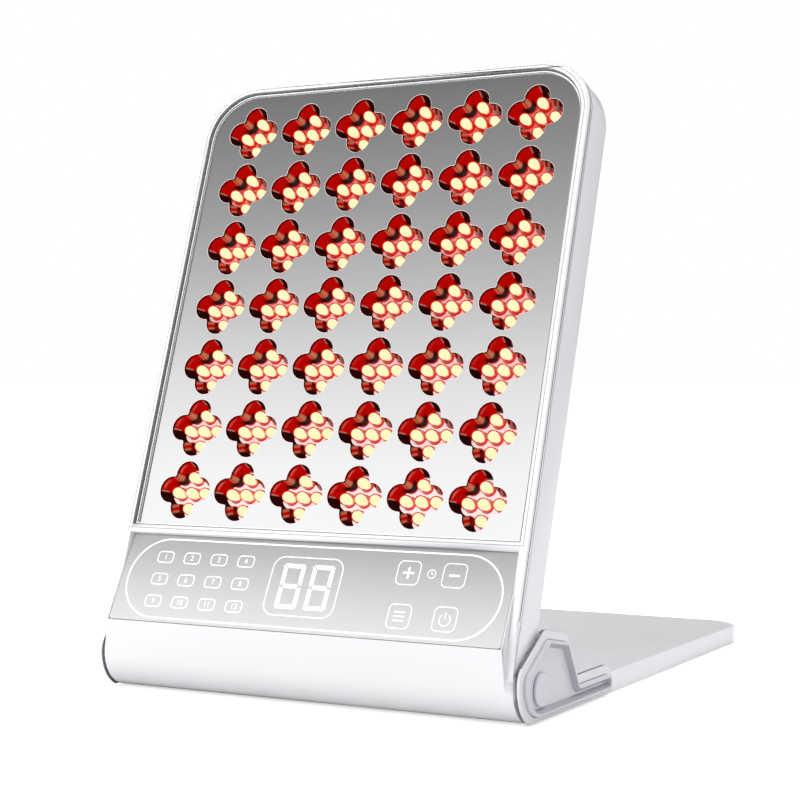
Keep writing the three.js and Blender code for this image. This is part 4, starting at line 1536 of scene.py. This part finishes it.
@dataclass
class LightField(SubAssembly):
    """Mirror plate with its four-lobed cups, and the LED boards and lenses behind it."""

    window: Window = field(default_factory=Window)
    columns: int = 6
    rows: int = 7
    pitch: float = 36.0
    spacing: float = 9.0
    lobe: float = 7.5
    notch: float = 1.0
    draft: float = 1.7
    lip: float = 0.5
    longest_step: float = 3.0
    wall_slot: int = 1
    lip_slot: int = 2
    face: float = 19.8
    back: float = 8.3
    trim_width: float = 0.75
    trim_top: float = 21.0
    trim_edge: float = 0.12
    board_top: float = 8.0
    board_thickness: float = 1.6
    board_height: float = 28.0
    lens_height: float = 8.6
    image_way: Place = (0.845, -0.535)
    lens_profile: Profile = (
        (3.7, -0.2), (3.7, 0.8), (3.6, 3.2), (3.5, 4.9), (3.3, 6.0), (2.85, 7.0), (2.15, 7.8),
        (1.2, 8.4), (0.4, 8.58),
    )

    def cup_outline(self, inset: float) -> Outline:
        """Outline of one cup round the origin: four lobes that meet in rounded notches.

        Args:
            inset: how far the outline is drawn in.

        Returns:
            The outline's points.
        """
        lobe = self.lobe - inset
        notch = self.notch + inset
        reach = lobe + notch
        away = (self.spacing + math.sqrt(2 * reach**2 - self.spacing**2)) / 2
        sweep = math.atan2(away, away - self.spacing)
        start = sweep - math.pi
        end = math.pi / 2 - start - 2 * math.pi
        arcs = [(self.spacing, 0.0, lobe, sweep * (step / 6 - 1)) for step in range(13)]
        arcs += [(away, away, notch, start + (end - start) * step / 4) for step in range(1, 4)]
        points: Outline = []
        for quarter in range(4):
            turn = Matrix.Rotation(quarter * math.pi / 2, 2)
            for x, y, radius, angle in arcs:
                arm = Vector((x + radius * math.cos(angle), y + radius * math.sin(angle)))
                points.append(tuple(turn @ arm))
        return points

    def draft_at(self, level: float) -> float:
        """How far a cup's wall has drawn in at a level under the plate's face."""
        return self.draft * (self.face - level) / (self.face - self.back)

    def place_of(self, column: int, row: int) -> Place:
        """Centre of one cup."""
        x = (column - (self.columns - 1) / 2) * self.pitch
        return x, self.window.centre + ((self.rows - 1) / 2 - row) * self.pitch

    def build(self) -> None:
        """Builds and dresses the light field."""
        self.build_plate()
        self.build_trim()
        self.build_boards()
        self.dress(self.finishes.aluminium, "heatsink_plate")
        self.dress(self.finishes.circuit, "driver_board")

    def build_plate(self) -> None:
        """The mirror plate: its cups are cut through it, and their lips are eased."""
        outline = rounded(self.window.corners(SLIT), -SLIT)
        mirror = plate("mirror_plate", outline, self.back, self.face)
        for finish in (self.finishes.mirror, self.finishes.cup, self.finishes.lip):
            mirror.data.materials.append(finish)
        levels = (self.back - 1, self.face + 1)
        first = stack("cup_tool", [(self.cup_outline(self.draft_at(level)), level) for level in levels])
        grid = [(column, row) for row in range(self.rows) for column in range(self.columns)]
        tools = repeated(first, "cup_tool", [self.place_of(*cup) for cup in grid], 0.0)
        carve(mirror, joined("cup_tools", tools))
        self.line_cups(mirror.data)
        self.weigh_lips(mirror.data)
        finish_with(
            mirror, "lips", "BEVEL", width=self.lip, segments=2, limit_method="WEIGHT",
            material=self.lip_slot, harden_normals=True,
        )
        shade(mirror)
        settle(mirror, self.frames.panel, "panel", None)
        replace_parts(mirror, "reflector_plate")

    def line_cups(self, mesh: Mesh) -> None:
        """Gives the cups' walls their finish and their UV map.

        Args:
            mesh: the plate's mesh.
        """
        plan = mesh.uv_layers.new(name="cup")
        for face in mesh.polygons:
            if abs(face.normal.z) < STEEP and abs(face.center.x) < self.columns * self.pitch / 2:
                face.material_index = self.wall_slot
                self.map_wall(mesh, face, plan)

    def weigh_lips(self, mesh: Mesh) -> None:
        """Marks the cups' upper edges for the bevel of their lips.

        Args:
            mesh: the plate's mesh.
        """
        weights = mesh.attributes.new("bevel_weight_edge", "FLOAT", "EDGE")
        for edge in mesh.edges:
            ends = [mesh.vertices[index].co for index in edge.vertices]
            front = all(abs(end.z - self.face) < TOUCH and self.on_cup(end) for end in ends)
            step = (ends[0] - ends[1]).length
            weights.data[edge.index].value = float(front and step < self.longest_step)

    def map_wall(self, mesh: Mesh, face: bpy.types.MeshPolygon, plan: bpy.types.MeshUVLoopLayer) -> None:
        """Writes a wall face's turn round its cup and its depth into the UV map.

        Args:
            mesh: the plate's mesh.
            face: the wall's face.
            plan: the UV map.
        """
        column = round(face.center.x / self.pitch + (self.columns - 1) / 2)
        row = round((self.rows - 1) / 2 - (face.center.y - self.window.centre) / self.pitch)
        x, y = self.place_of(column, row)
        middle = math.atan2(face.center.y - y, face.center.x - x)
        outwards = Vector((face.normal.x, face.normal.y, 0)).normalized()
        for index in face.loop_indices:
            place = mesh.vertices[mesh.loops[index].vertex_index].co
            lip = place - outwards * self.draft_at(place.z)
            angle = math.atan2(lip.y - y, lip.x - x)
            angle = middle + math.remainder(angle - middle, 2 * math.pi)
            turn = (angle / (2 * math.pi)) % 1.0 if middle >= 0 else 1.0 + angle / (2 * math.pi)
            plan.data[index].uv = (turn, (self.face - place.z) / (self.face - self.back))

    def on_cup(self, point: Vector) -> bool:
        """Whether a point of the plate's face lies on a cup's edge and not on the plate's own."""
        return abs(point.x) < self.columns * self.pitch / 2 and self.window.holds(point, 2)

    def build_trim(self) -> None:
        """The thin pale ring inside the window."""
        corners = self.window.corners()
        outer, inner = rounded(corners, -SLIT), rounded(corners, -SLIT - self.trim_width)
        ring = hoop("window_trim", outer, inner, self.face + SLIT, self.trim_top)
        finish_with(
            ring, "soften", "BEVEL", width=self.trim_edge, segments=2, limit_method="ANGLE",
            angle_limit=math.radians(60), use_clamp_overlap=True,
        )
        shade(ring)
        place = self.frames.panel
        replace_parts(settle(ring, place, "panel", self.finishes.trim), "trim_ring")
        # Painted shade on the trim's side walls.
        line_gap(ring, place, self.finishes.shadow, lambda middle, normal: abs(normal.z) < 0.3)

    def build_lens(self) -> Piece:
        """One LED lens: a tall dome drawn up from a disc, with its UV map.

        Returns:
            The lens.
        """
        lens = stack("lens_blank", turned(self.lens_profile, 12))
        x, y = (way / (2 * self.lens_profile[0][0]) for way in self.image_way)
        chart(lens, "rise", lambda at: (0.5 + at.x * x + at.y * y, max(0.0, at.z / self.lens_height)))
        shade(lens, 80)
        return lens

    def build_boards(self) -> None:
        """The seven LED boards, each with thirty lenses in six crosses of five."""
        place = self.frames.panel
        lens = self.build_lens()
        steps = [(0, 0), (1, 0), (-1, 0), (0, 1), (0, -1)]
        for row in range(self.rows):
            y = self.place_of(0, row)[1]
            corners = box_round((0.0, y), (self.columns * self.pitch, self.board_height), 0.6)
            foot = self.board_top - self.board_thickness
            board = plate(f"led_board_{row + 1}", rounded(corners), foot, self.board_top)
            chart(board, "spacings", lambda at: (at.x / self.spacing, (at.y - y) / self.spacing))
            settle(board, place, "panel", self.finishes.board)
            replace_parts(board, f"led_strip_{row + 1}")
            lenses = []
            for column in range(self.columns):
                x = self.place_of(column, row)[0]
                for across, up in steps:
                    at = (x + across * self.spacing, y + up * self.spacing, self.board_top)
                    lenses.append(copied(lens, "lens", at))
            crown = joined(f"led_lenses_{row + 1}", lenses)
            settle(crown, place, "panel", self.finishes.lens)
        bpy.data.objects.remove(lens)


@dataclass
class Console(SubAssembly):
    """The touch console: its plate, the print on it, the lit digits and what lies behind it."""

    half_width: float = 117.9
    low: float = 0.8
    high: float = 51.17
    thickness: float = 1.6
    corner: float = 1.5
    edge: float = 0.3
    paint: Stops = (
        (0.0, (0.73, 0.73, 0.73)), (0.35, (0.63, 0.63, 0.635)), (0.75, (0.49, 0.49, 0.495)),
        (1.0, (0.42, 0.42, 0.425)),
    )
    ink: float = 0.05
    loop: tuple[float, float, float, float, float] = (-113.4, 3.1, 113.2, 48.6, 22.7)
    loop_line: float = 0.9
    display: tuple[Place, Place, float] = ((-0.9, 25.9), (42.4, 32.6), 6.4)
    key_columns: tuple[float, ...] = (-92.2, -74.8, -57.3, -40.0)
    key_rows: tuple[float, ...] = (38.1, 25.3, 12.5)
    key_size: Place = (10.0, 6.2)
    key_radius: float = 1.9
    key_line: float = 0.6
    number_size: float = 4.4
    buttons: Profile = ((58.5, 37.2), (84.6, 37.1), (58.9, 13.7), (84.7, 13.8))
    button_size: Place = (12.8, 12.8)
    button_radius: float = 2.8
    button_line: float = 0.5
    plus_sign: Place = (6.4, 1.1)
    minus_sign: Place = (6.2, 1.1)
    menu_bar: Place = (6.0, 0.8)
    menu_pitch: float = 2.3
    power_sign: tuple[Place, float, float] = ((84.7, 13.4), 3.1, 0.55)
    clock_sign: tuple[Place, float, float] = ((71.7, 37.3), 2.3, 0.42)
    digit_size: Place = (13.0, 25.0)
    digit_centres: Place = (-8.8, 8.9)
    digit_height: float = 25.9
    digit_thick: float = 2.3
    digit_slit: float = 0.55

    def printed(self, points: Outline, centre: Place = (0.0, 0.0)) -> Piece:
        """A printed patch."""
        return plate("print", [(centre[0] + x, centre[1] + y) for x, y in points], 0.0, self.ink)

    def printed_line(self, corners: list[Corner], width: float) -> Piece:
        """A printed line along an outline."""
        return hoop("line", rounded(corners, width / 2), rounded(corners, -width / 2), 0.0, self.ink)

    def bar(self, centre: Place, wide: float, tall: float) -> Piece:
        """A printed bar with slightly rounded ends."""
        return self.printed(rounded(box_round(centre, (wide, tall), min(wide, tall) * 0.3)))

    def plus(self, centre: Place, reach: float, width: float) -> Piece:
        """A printed plus sign.

        Args:
            centre: its centre.
            reach: its whole width and height.
            width: the width of its bars.

        Returns:
            The sign.
        """
        a, b = width / 2, reach / 2
        arm = [(b, -a), (b, a), (a, a)]
        points: Outline = []
        for _ in range(4):
            points += arm
            arm = [(-y, x) for x, y in arm]
        return self.printed(points, centre)

    def power(self, centre: Place, radius: float, width: float) -> list[Piece]:
        """The usual power sign: an open ring and a stroke."""
        stroke = self.bar((centre[0], centre[1] + radius * 0.72), width, radius * 1.15)
        return [self.printed(arc_band(radius, width, 125, 415, centre)), stroke]

    def clock(self, centre: Place, radius: float, width: float) -> list[Piece]:
        """A plain clock face with two hands.

        Args:
            centre: its centre.
            radius: the radius of its ring's middle line.
            width: the width of its lines.

        Returns:
            The ring and the hands.
        """
        edges = [circle(radius + sign * width / 2, 32, centre) for sign in (1, -1)]
        half, long, short = width / 2, radius * 0.66, radius * 0.5
        hands = [(half, -half), (short, -half), (short, half), (half, half), (half, long), (-half, long)]
        return [hoop("clock", *edges, 0.0, self.ink), self.printed([*hands, (-half, -half)], centre)]

    def digit(self, x: float, y: float) -> list[Piece]:
        """A lit figure eight of seven segments with mitred ends.

        Args:
            x: the place across of its centre.
            y: the place up the console of its centre.

        Returns:
            The segments.
        """
        thick, slit = self.digit_thick, self.digit_slit
        half, quarter = (size / 2 for size in self.digit_size)
        end, long, short, edge = half - thick / 2 - slit, half - slit, half - thick - slit, thick / 2
        middle = [(-end, 0), (-end + edge, -edge), (end - edge, -edge), (end, 0), (end - edge, edge)]
        bar = [(-long, edge), (-short, -edge), (short, -edge), (long, edge)]
        rise = quarter - edge
        made = [
            self.printed([(px, -py) for px, py in bar][::-1], (x, y - rise)),
            self.printed([*middle, (-end + edge, edge)], (x, y)),
            self.printed(bar, (x, y + rise)),
        ]
        for across in (-1, 1):
            for up in (-1, 1):
                outer, inner = across * half, across * (half - thick)
                near, far = up * (slit * 0.8), up * (quarter - slit)
                inwards = [(inner, far - up * thick), (inner, near + up * edge)]
                made.append(self.printed([(outer, near), (outer, far), *inwards], (x, y)))
        return made

    def number(self, text: str, x: float, y: float) -> Piece:
        """A printed number in Blender's own plain face.

        Args:
            text: the number.
            x: the place across of its centre.
            y: the place up the console of its centre.

        Returns:
            The number's mesh.
        """
        only()
        bpy.ops.object.text_add(location=(0, 0, 0))
        letters = bpy.context.object
        letters.data.body = text
        letters.data.size = self.number_size
        letters.data.align_x = "CENTER"
        letters.data.align_y = "CENTER"
        letters.data.resolution_u = 3
        letters.data.extrude = self.ink / 2
        only(letters)
        bpy.ops.object.convert(target="MESH")
        piece = named("number")
        piece.data.transform(Matrix.Translation((x, y, self.ink / 2)))
        return piece

    def build(self) -> None:
        """Builds and dresses the console."""
        corners = box_corners(-self.half_width, self.low, self.half_width, self.high, self.corner)
        layers = [(rounded(corners), -self.thickness), *eased(corners, 0.0, 0.0, self.edge)]
        face = stack("console_plate", layers)
        shade(face)
        place, finishes = self.frames.console, self.finishes
        levels = [(place @ Vector((0, y, 0))).z for y in (self.low, self.high)]
        paint = FadedPanelPaint("silver console paint", *levels, self.paint).make(finishes.effects)
        settle(face, place, "panel", paint)
        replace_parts(face, "console_panel")
        # Painted shade on the faces along the plate's lower edge.
        line_gap(face, place, finishes.gap, lambda middle, normal: normal.y < -0.8)
        for print_of in (self.build_lines, self.build_signs, self.build_numbers):
            settle(print_of(), place, "panel", finishes.print)
        digits = [piece for x in self.digit_centres for piece in self.digit(x, self.digit_height)]
        settle(joined("display_digits", digits), place, "panel", finishes.digits)
        self.dress(finishes.black, "display_module")
        self.dress(finishes.circuit, "touch_board")

    def build_lines(self) -> Piece:
        """The long outline round the console and the outlines of the display and the keys.

        Returns:
            The lines.
        """
        lines = [self.printed_line(box_corners(*self.loop), self.loop_line)]
        lines.append(self.printed_line(box_round(*self.display), self.key_line))
        for x in self.key_columns:
            for y in self.key_rows:
                key = box_round((x, y), self.key_size, self.key_radius)
                lines.append(self.printed_line(key, self.key_line))
        for place in self.buttons:
            button = box_round(place, self.button_size, self.button_radius)
            lines.append(self.printed_line(button, self.button_line))
        return joined("console_lines", lines)

    def build_signs(self) -> Piece:
        """The signs in the four large keys, and a clock between plus and minus.

        Returns:
            The signs.
        """
        add, less, menu, _ = self.buttons
        signs = [self.plus(add, *self.plus_sign), self.bar(less, *self.minus_sign)]
        signs += self.power(*self.power_sign)
        signs += self.clock(*self.clock_sign)
        levels = [menu[1] + step * self.menu_pitch for step in (-1, 0, 1)]
        signs += [self.bar((menu[0], level), *self.menu_bar) for level in levels]
        return joined("console_signs", signs)

    def build_numbers(self) -> Piece:
        """Plain numbers 1 to 12 in the small keys.

        Returns:
            The numbers.
        """
        made = []
        for y in self.key_rows:
            for x in self.key_columns:
                made.append(self.number(str(len(made) + 1), x, y))
        return joined("console_numbers", made)


@dataclass
class TiltHinge(SubAssembly):
    """Two ears with their dished covers and round plugs, and the pins, blocks and bushes between."""

    inner: float = 123.8
    cheek: float = 2.9
    border: float = 4.7
    ear_edge: float = 0.9
    ear_foot: float = 1.0
    gap_width: float = 1.4
    relief: Place = (17.4, 25.0)
    seat: float = 1.2
    boss: float = 15.0
    boss_levels: Place = (-10.8, 0.6)
    bore: float = 4.3
    counterbore: float = 7.3
    counterbore_low: float = -1.5
    cover_height: float = 3.7
    cover_floor: float = 0.9
    cover_edge: float = 0.8
    bead: float = 1.9
    run: float = 1.9
    axis: float = 20.5
    plug_centre: Place = (5.8, 16.5)
    plug: Profile = ((8.6, 0.0), (8.6, 0.8), (8.48, 1.08), (8.2, 1.25), (7.9, 1.3), (7.0, 1.22))
    corners: tuple[Corner, ...] = (
        (-14.9, 3.5, 17.0), (94.3, 3.5, 4.2), (94.3, 12.0, 4.2), (50.2, 12.0, 3.0),
        (36.0, 36.3, 2.5), (12.5, 40.6, 3.0), (-14.9, 24.5, 6.8),
    )

    def build(self) -> None:
        """Builds and dresses both sides."""
        for side in Side:
            self.build_ear(side)
            self.build_cover(side)
            self.build_plug(side)
            self.dress(self.finishes.steel, f"hinge_pin_{side.word}")
            self.dress(self.finishes.black, f"hinge_block_{side.word}")
            self.dress(self.finishes.brass, f"hinge_bush_{side.word}")

    def round_tool(self, name: str, radius: float, sides: int, low: float, high: float) -> Piece:
        """A round tool on the hinge axis, between two levels from the ear's inner face."""
        outline = circle(radius, sides, (0, self.axis))
        return plate(name, outline, self.inner + low, self.inner + high)

    def build_ear(self, side: Side) -> None:
        """The ear: a cheek with a seat for its cover, and the boss that carries the hinge pin.

        Args:
            side: the side.
        """
        outer = self.inner + self.cheek
        seat = rounded(self.corners, SLIT)
        layers = [(rounded(self.corners, self.border), self.inner)]
        layers += eased(self.corners, self.border, outer, self.ear_edge)
        ear = stack(f"ear_shell_{side.word}", [*layers, (seat, outer), (seat, self.inner + self.seat)])
        rings = [circle(radius, 96, (0, self.axis)) for radius in self.relief]
        carve(ear, hoop("relief", rings[1], rings[0], self.inner - 1, self.inner + self.gap_width))
        carve(ear, self.round_tool("boss", self.boss, 48, *self.boss_levels), "UNION")
        carve(ear, self.round_tool("bore", self.bore, 32, -14, self.cheek + 1))
        counter = (self.counterbore_low, self.cheek + 1)
        carve(ear, self.round_tool("counterbore", self.counterbore, 32, *counter))
        below = rounded(box_corners(-200, -20, 200, self.ear_foot, 0))
        carve(ear, plate("below", below, self.inner - 20, outer + 4))
        shade(ear)
        place = self.frames.side(side)
        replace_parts(settle(ear, place, "base", self.finishes.ear), f"ear_{side.word}")
        # Painted shade on the faces of the relief next to the ear's inner face.
        low, high = self.inner + TOUCH, self.inner + self.gap_width + TOUCH
        line_gap(ear, place, self.finishes.shadow, lambda middle, normal: low < middle.z < high)

    def build_cover(self, side: Side) -> None:
        """The side cover: a raised bead round a sloping, dished floor.

        Args:
            side: the side.
        """
        back = self.inner + self.seat + SLIT
        crest = back + self.cover_height
        floor = back + self.cover_floor
        layers = [(rounded(self.corners), back), *eased(self.corners, 0.0, crest, self.cover_edge)]
        slope = [(0.25, crest), (-0.15, crest - 0.2), (0.3 - self.run, floor + 0.3), (-self.run, floor)]
        layers += [(rounded(self.corners, inset - self.bead), level) for inset, level in slope]
        cover = stack(f"ear_cover_{side.word}", layers)
        shade(cover, 35)
        place = self.frames.side(side)
        settle(cover, place, "base", self.finishes.cover)
        crown = rounded(self.corners, -self.bead * 0.9)

        def is_wall(middle: Vector, normal: Vector) -> bool:
            """Whether a face of the cover is a wall of its recess."""
            level = floor + TOUCH < middle.z < crest - TOUCH
            return level and 0.05 < abs(normal.z) < LEVEL and self.within(crown, middle)

        # Painted shade on the recess walls.
        line_gap(cover, place, self.finishes.recess, is_wall)
        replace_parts(cover, f"side_cover_{side.word}")

    def within(self, outline: Outline, place: Vector) -> bool:
        """Whether a place lies inside an outline.

        Args:
            outline: the outline.
            place: the place.

        Returns:
            Whether it does.
        """
        crossings = 0
        for (x0, y0), (x1, y1) in zip(outline, outline[1:] + outline[:1]):
            crosses = (y0 > place.y) != (y1 > place.y)
            if crosses and place.x < x0 + (place.y - y0) * (x1 - x0) / (y1 - y0):
                crossings += 1
        return crossings % 2 == 1

    def build_plug(self, side: Side) -> None:
        """The round plug on the cover's floor.

        Args:
            side: the side.
        """
        low = self.inner + self.seat + self.cover_floor + 2 * SLIT
        plug = stack(f"round_plug_{side.word}", turned(self.plug, 56, self.plug_centre, low))
        shade(plug)
        settle(plug, self.frames.side(side), "base", self.finishes.cover)
        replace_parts(plug, f"side_plug_{side.word}")


@dataclass
class StandBase(SubAssembly):
    """The flat base plate with its cover, feet and screws."""

    corner_centre: Place = (101.0, 305.0)
    half_width: float = 126.0
    depth: float = 330.0
    screw_level: float = 1.2
    screw_inset: float = 62.0
    foot_inset: float = 20.0
    foot_front: float = 31.0
    foot: Profile = ((4.2, 0.35), (4.4, 0.0), (6.3, 0.0), (6.8, 0.2), (7.0, 0.6), (7.0, 1.7))

    def build(self) -> None:
        """Builds and dresses the base."""
        places, finishes = self.frames, self.finishes
        shell = self.skin("base_shell", self.corner_centre, places.ground, 50)
        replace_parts(settle(shell, places.row, "base", finishes.body), "base_shell")
        cover = self.skin("base_cover", None, places.ground, 30)
        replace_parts(settle(cover, places.row, "base", finishes.underside), "base_cover")
        self.build_feet()
        self.build_screws()

    def build_feet(self) -> None:
        """Four rubber feet with a ringed sole."""
        first = stack("foot_blank", turned(self.foot, 40))
        shade(first)
        across, far = self.half_width - self.foot_inset, self.depth - self.foot_inset
        places = four_places(across, self.foot_front, far)
        for index, foot in enumerate(repeated(first, "rubber_foot", places, 0.0), 1):
            settle(foot, self.frames.ground, "base", self.finishes.rubber)
            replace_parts(foot, f"foot_{index}")

    def build_screws(self) -> None:
        """Four screws in the base cover."""
        first = Screw(head_height=1.0, length=4.6, recess=0.6).build("base_screw_blank")
        across, far = self.half_width - self.screw_inset, self.depth - self.screw_inset
        places = four_places(across, self.screw_inset, far)
        for index, screw in enumerate(repeated(first, "cover_screw", places, self.screw_level), 1):
            settle(screw, self.frames.ground, "base", self.finishes.steel)
            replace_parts(screw, f"base_screw_{index}")


@dataclass
class Studio:
    """Pale floor, soft lamps, a world that fades upwards, and the camera."""

    frames: Frames
    eye: Triple = (0.4952, -0.9693, 0.1720)
    forward: Triple = (-0.4786, 0.8779, -0.0137)
    aim: Triple = (0.0, 0.0, 0.15)
    lens: float = 81.9
    sensor: float = 36.0
    floor_size: float = 60.0
    floor_colour: Colour = (0.72, 0.72, 0.73)
    floor_glow: float = 0.62
    sky: Colour = (0.63, 0.625, 0.64)
    card: Profile = (
        (0.0, 1.0), (0.24, 1.0), (0.275, 0.97), (0.337, 0.8), (0.4, 0.56), (0.461, 0.37), (0.524, 0.25),
        (0.56, 0.19), (1.0, 0.04),
    )

    def build(self) -> None:
        """Builds the stage, the lights and the camera."""
        self.build_floor()
        self.build_world()
        self.build_lamp("key", (-0.75, -1.4, 0.95), 1.3, 16.2, (1.0, 0.995, 0.985))
        self.build_lamp("rim", (0.25, 0.9, 1.9), 1.8, 36.0, (0.98, 0.98, 1.0))
        self.build_camera()

    def build_floor(self) -> None:
        """A wide pale floor that shows white to the camera and keeps the shadow."""
        only()
        bpy.ops.mesh.primitive_plane_add(size=self.floor_size)
        floor = named("studio_floor")
        material, wiring, shader = start_material("pale floor", None)
        seen = wiring.add("ShaderNodeLightPath").outputs["Is Camera Ray"]
        wiring.feed(shader, {
            "Base Color": solid(self.floor_colour),
            "Roughness": 0.9,
            "Emission Color": solid(WHITE),
            "Emission Strength": wiring.times(seen, self.floor_glow),
        })
        floor.data.materials.append(material)

    def build_world(self) -> None:
        """White to the camera, a card that fades upwards to mirrors, and a plain level to the rest."""
        world = bpy.data.worlds.new("studio")
        world.use_nodes = True
        wiring = Wiring(world.node_tree)
        turn = self.frames.panel.to_3x3().normalized()
        way = wiring.add("ShaderNodeTexCoord").outputs["Generated"]
        slopes = []
        for axis in (turn.col[1], turn.col[2]):
            node = wiring.add("ShaderNodeVectorMath", {0: way, 1: axis}, operation="DOT_PRODUCT")
            slopes.append(node.outputs["Value"])
        rise = wiring.maths("DIVIDE", slopes[0], wiring.maths("MAXIMUM", slopes[1], 0.02))
        ray = wiring.add("ShaderNodeLightPath").outputs
        card = wiring.ramp(rise, greys(*self.card))
        mirrored = wiring.mix(ray["Is Glossy Ray"], solid(self.sky), card)
        seen = wiring.maths("MAXIMUM", ray["Is Camera Ray"], ray["Is Transmission Ray"])
        shown = wiring.mix(seen, mirrored, solid(WHITE))
        light = wiring.add("ShaderNodeBackground", {"Color": shown}).outputs[0]
        wiring.add("ShaderNodeOutputWorld", {"Surface": light})
        bpy.context.scene.world = world

    def build_lamp(self, name: str, place: Triple, size: float, power: float, colour: Colour) -> None:
        """A soft square lamp aimed at the middle of the panel, unseen by mirrors.

        Args:
            name: the lamp's name.
            place: where it stands.
            size: the length of its side.
            power: its power in watts.
            colour: its light's colour.
        """
        only()
        bpy.ops.object.light_add(type="AREA", location=place)
        lamp = bpy.context.object
        lamp.name = name
        lamp.data.size = size
        lamp.data.energy = power
        lamp.data.color = colour
        lamp.visible_glossy = False
        aim = Vector(self.aim) - Vector(place)
        lamp.rotation_euler = aim.to_track_quat("-Z", "Y").to_euler()

    def build_camera(self) -> None:
        """The camera at the photograph's viewing angle."""
        only()
        bpy.ops.object.camera_add()
        camera = bpy.context.object
        camera.data.sensor_width = self.sensor
        camera.data.lens = self.lens
        camera.data.clip_start = 0.05
        camera.data.clip_end = 100.0
        ahead = Vector(self.forward).normalized()
        right = ahead.cross(Vector((0, 0, 1))).normalized()
        above = right.cross(ahead)
        turn = Matrix((right, above, -ahead)).transposed().to_4x4()
        camera.matrix_world = Matrix.Translation(self.eye) @ turn
        bpy.context.scene.camera = camera
        bpy.context.scene.view_settings.view_transform = "Standard"


def main() -> None:
    """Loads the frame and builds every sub-assembly."""
    logging.basicConfig(level=logging.INFO, format="%(message)s")
    for leftover in list(bpy.data.objects):
        bpy.data.objects.remove(leftover)
    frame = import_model()
    only()
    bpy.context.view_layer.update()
    frames = Frames(Vector(frame["joints"][0]["pos_m"]))
    finishes = Finishes(Effects())
    for part in (Housing, LightField, Console, TiltHinge, StandBase):
        part(frame, frames, finishes).build()
    Studio(frames).build()


if __name__ == "__main__":
    main()
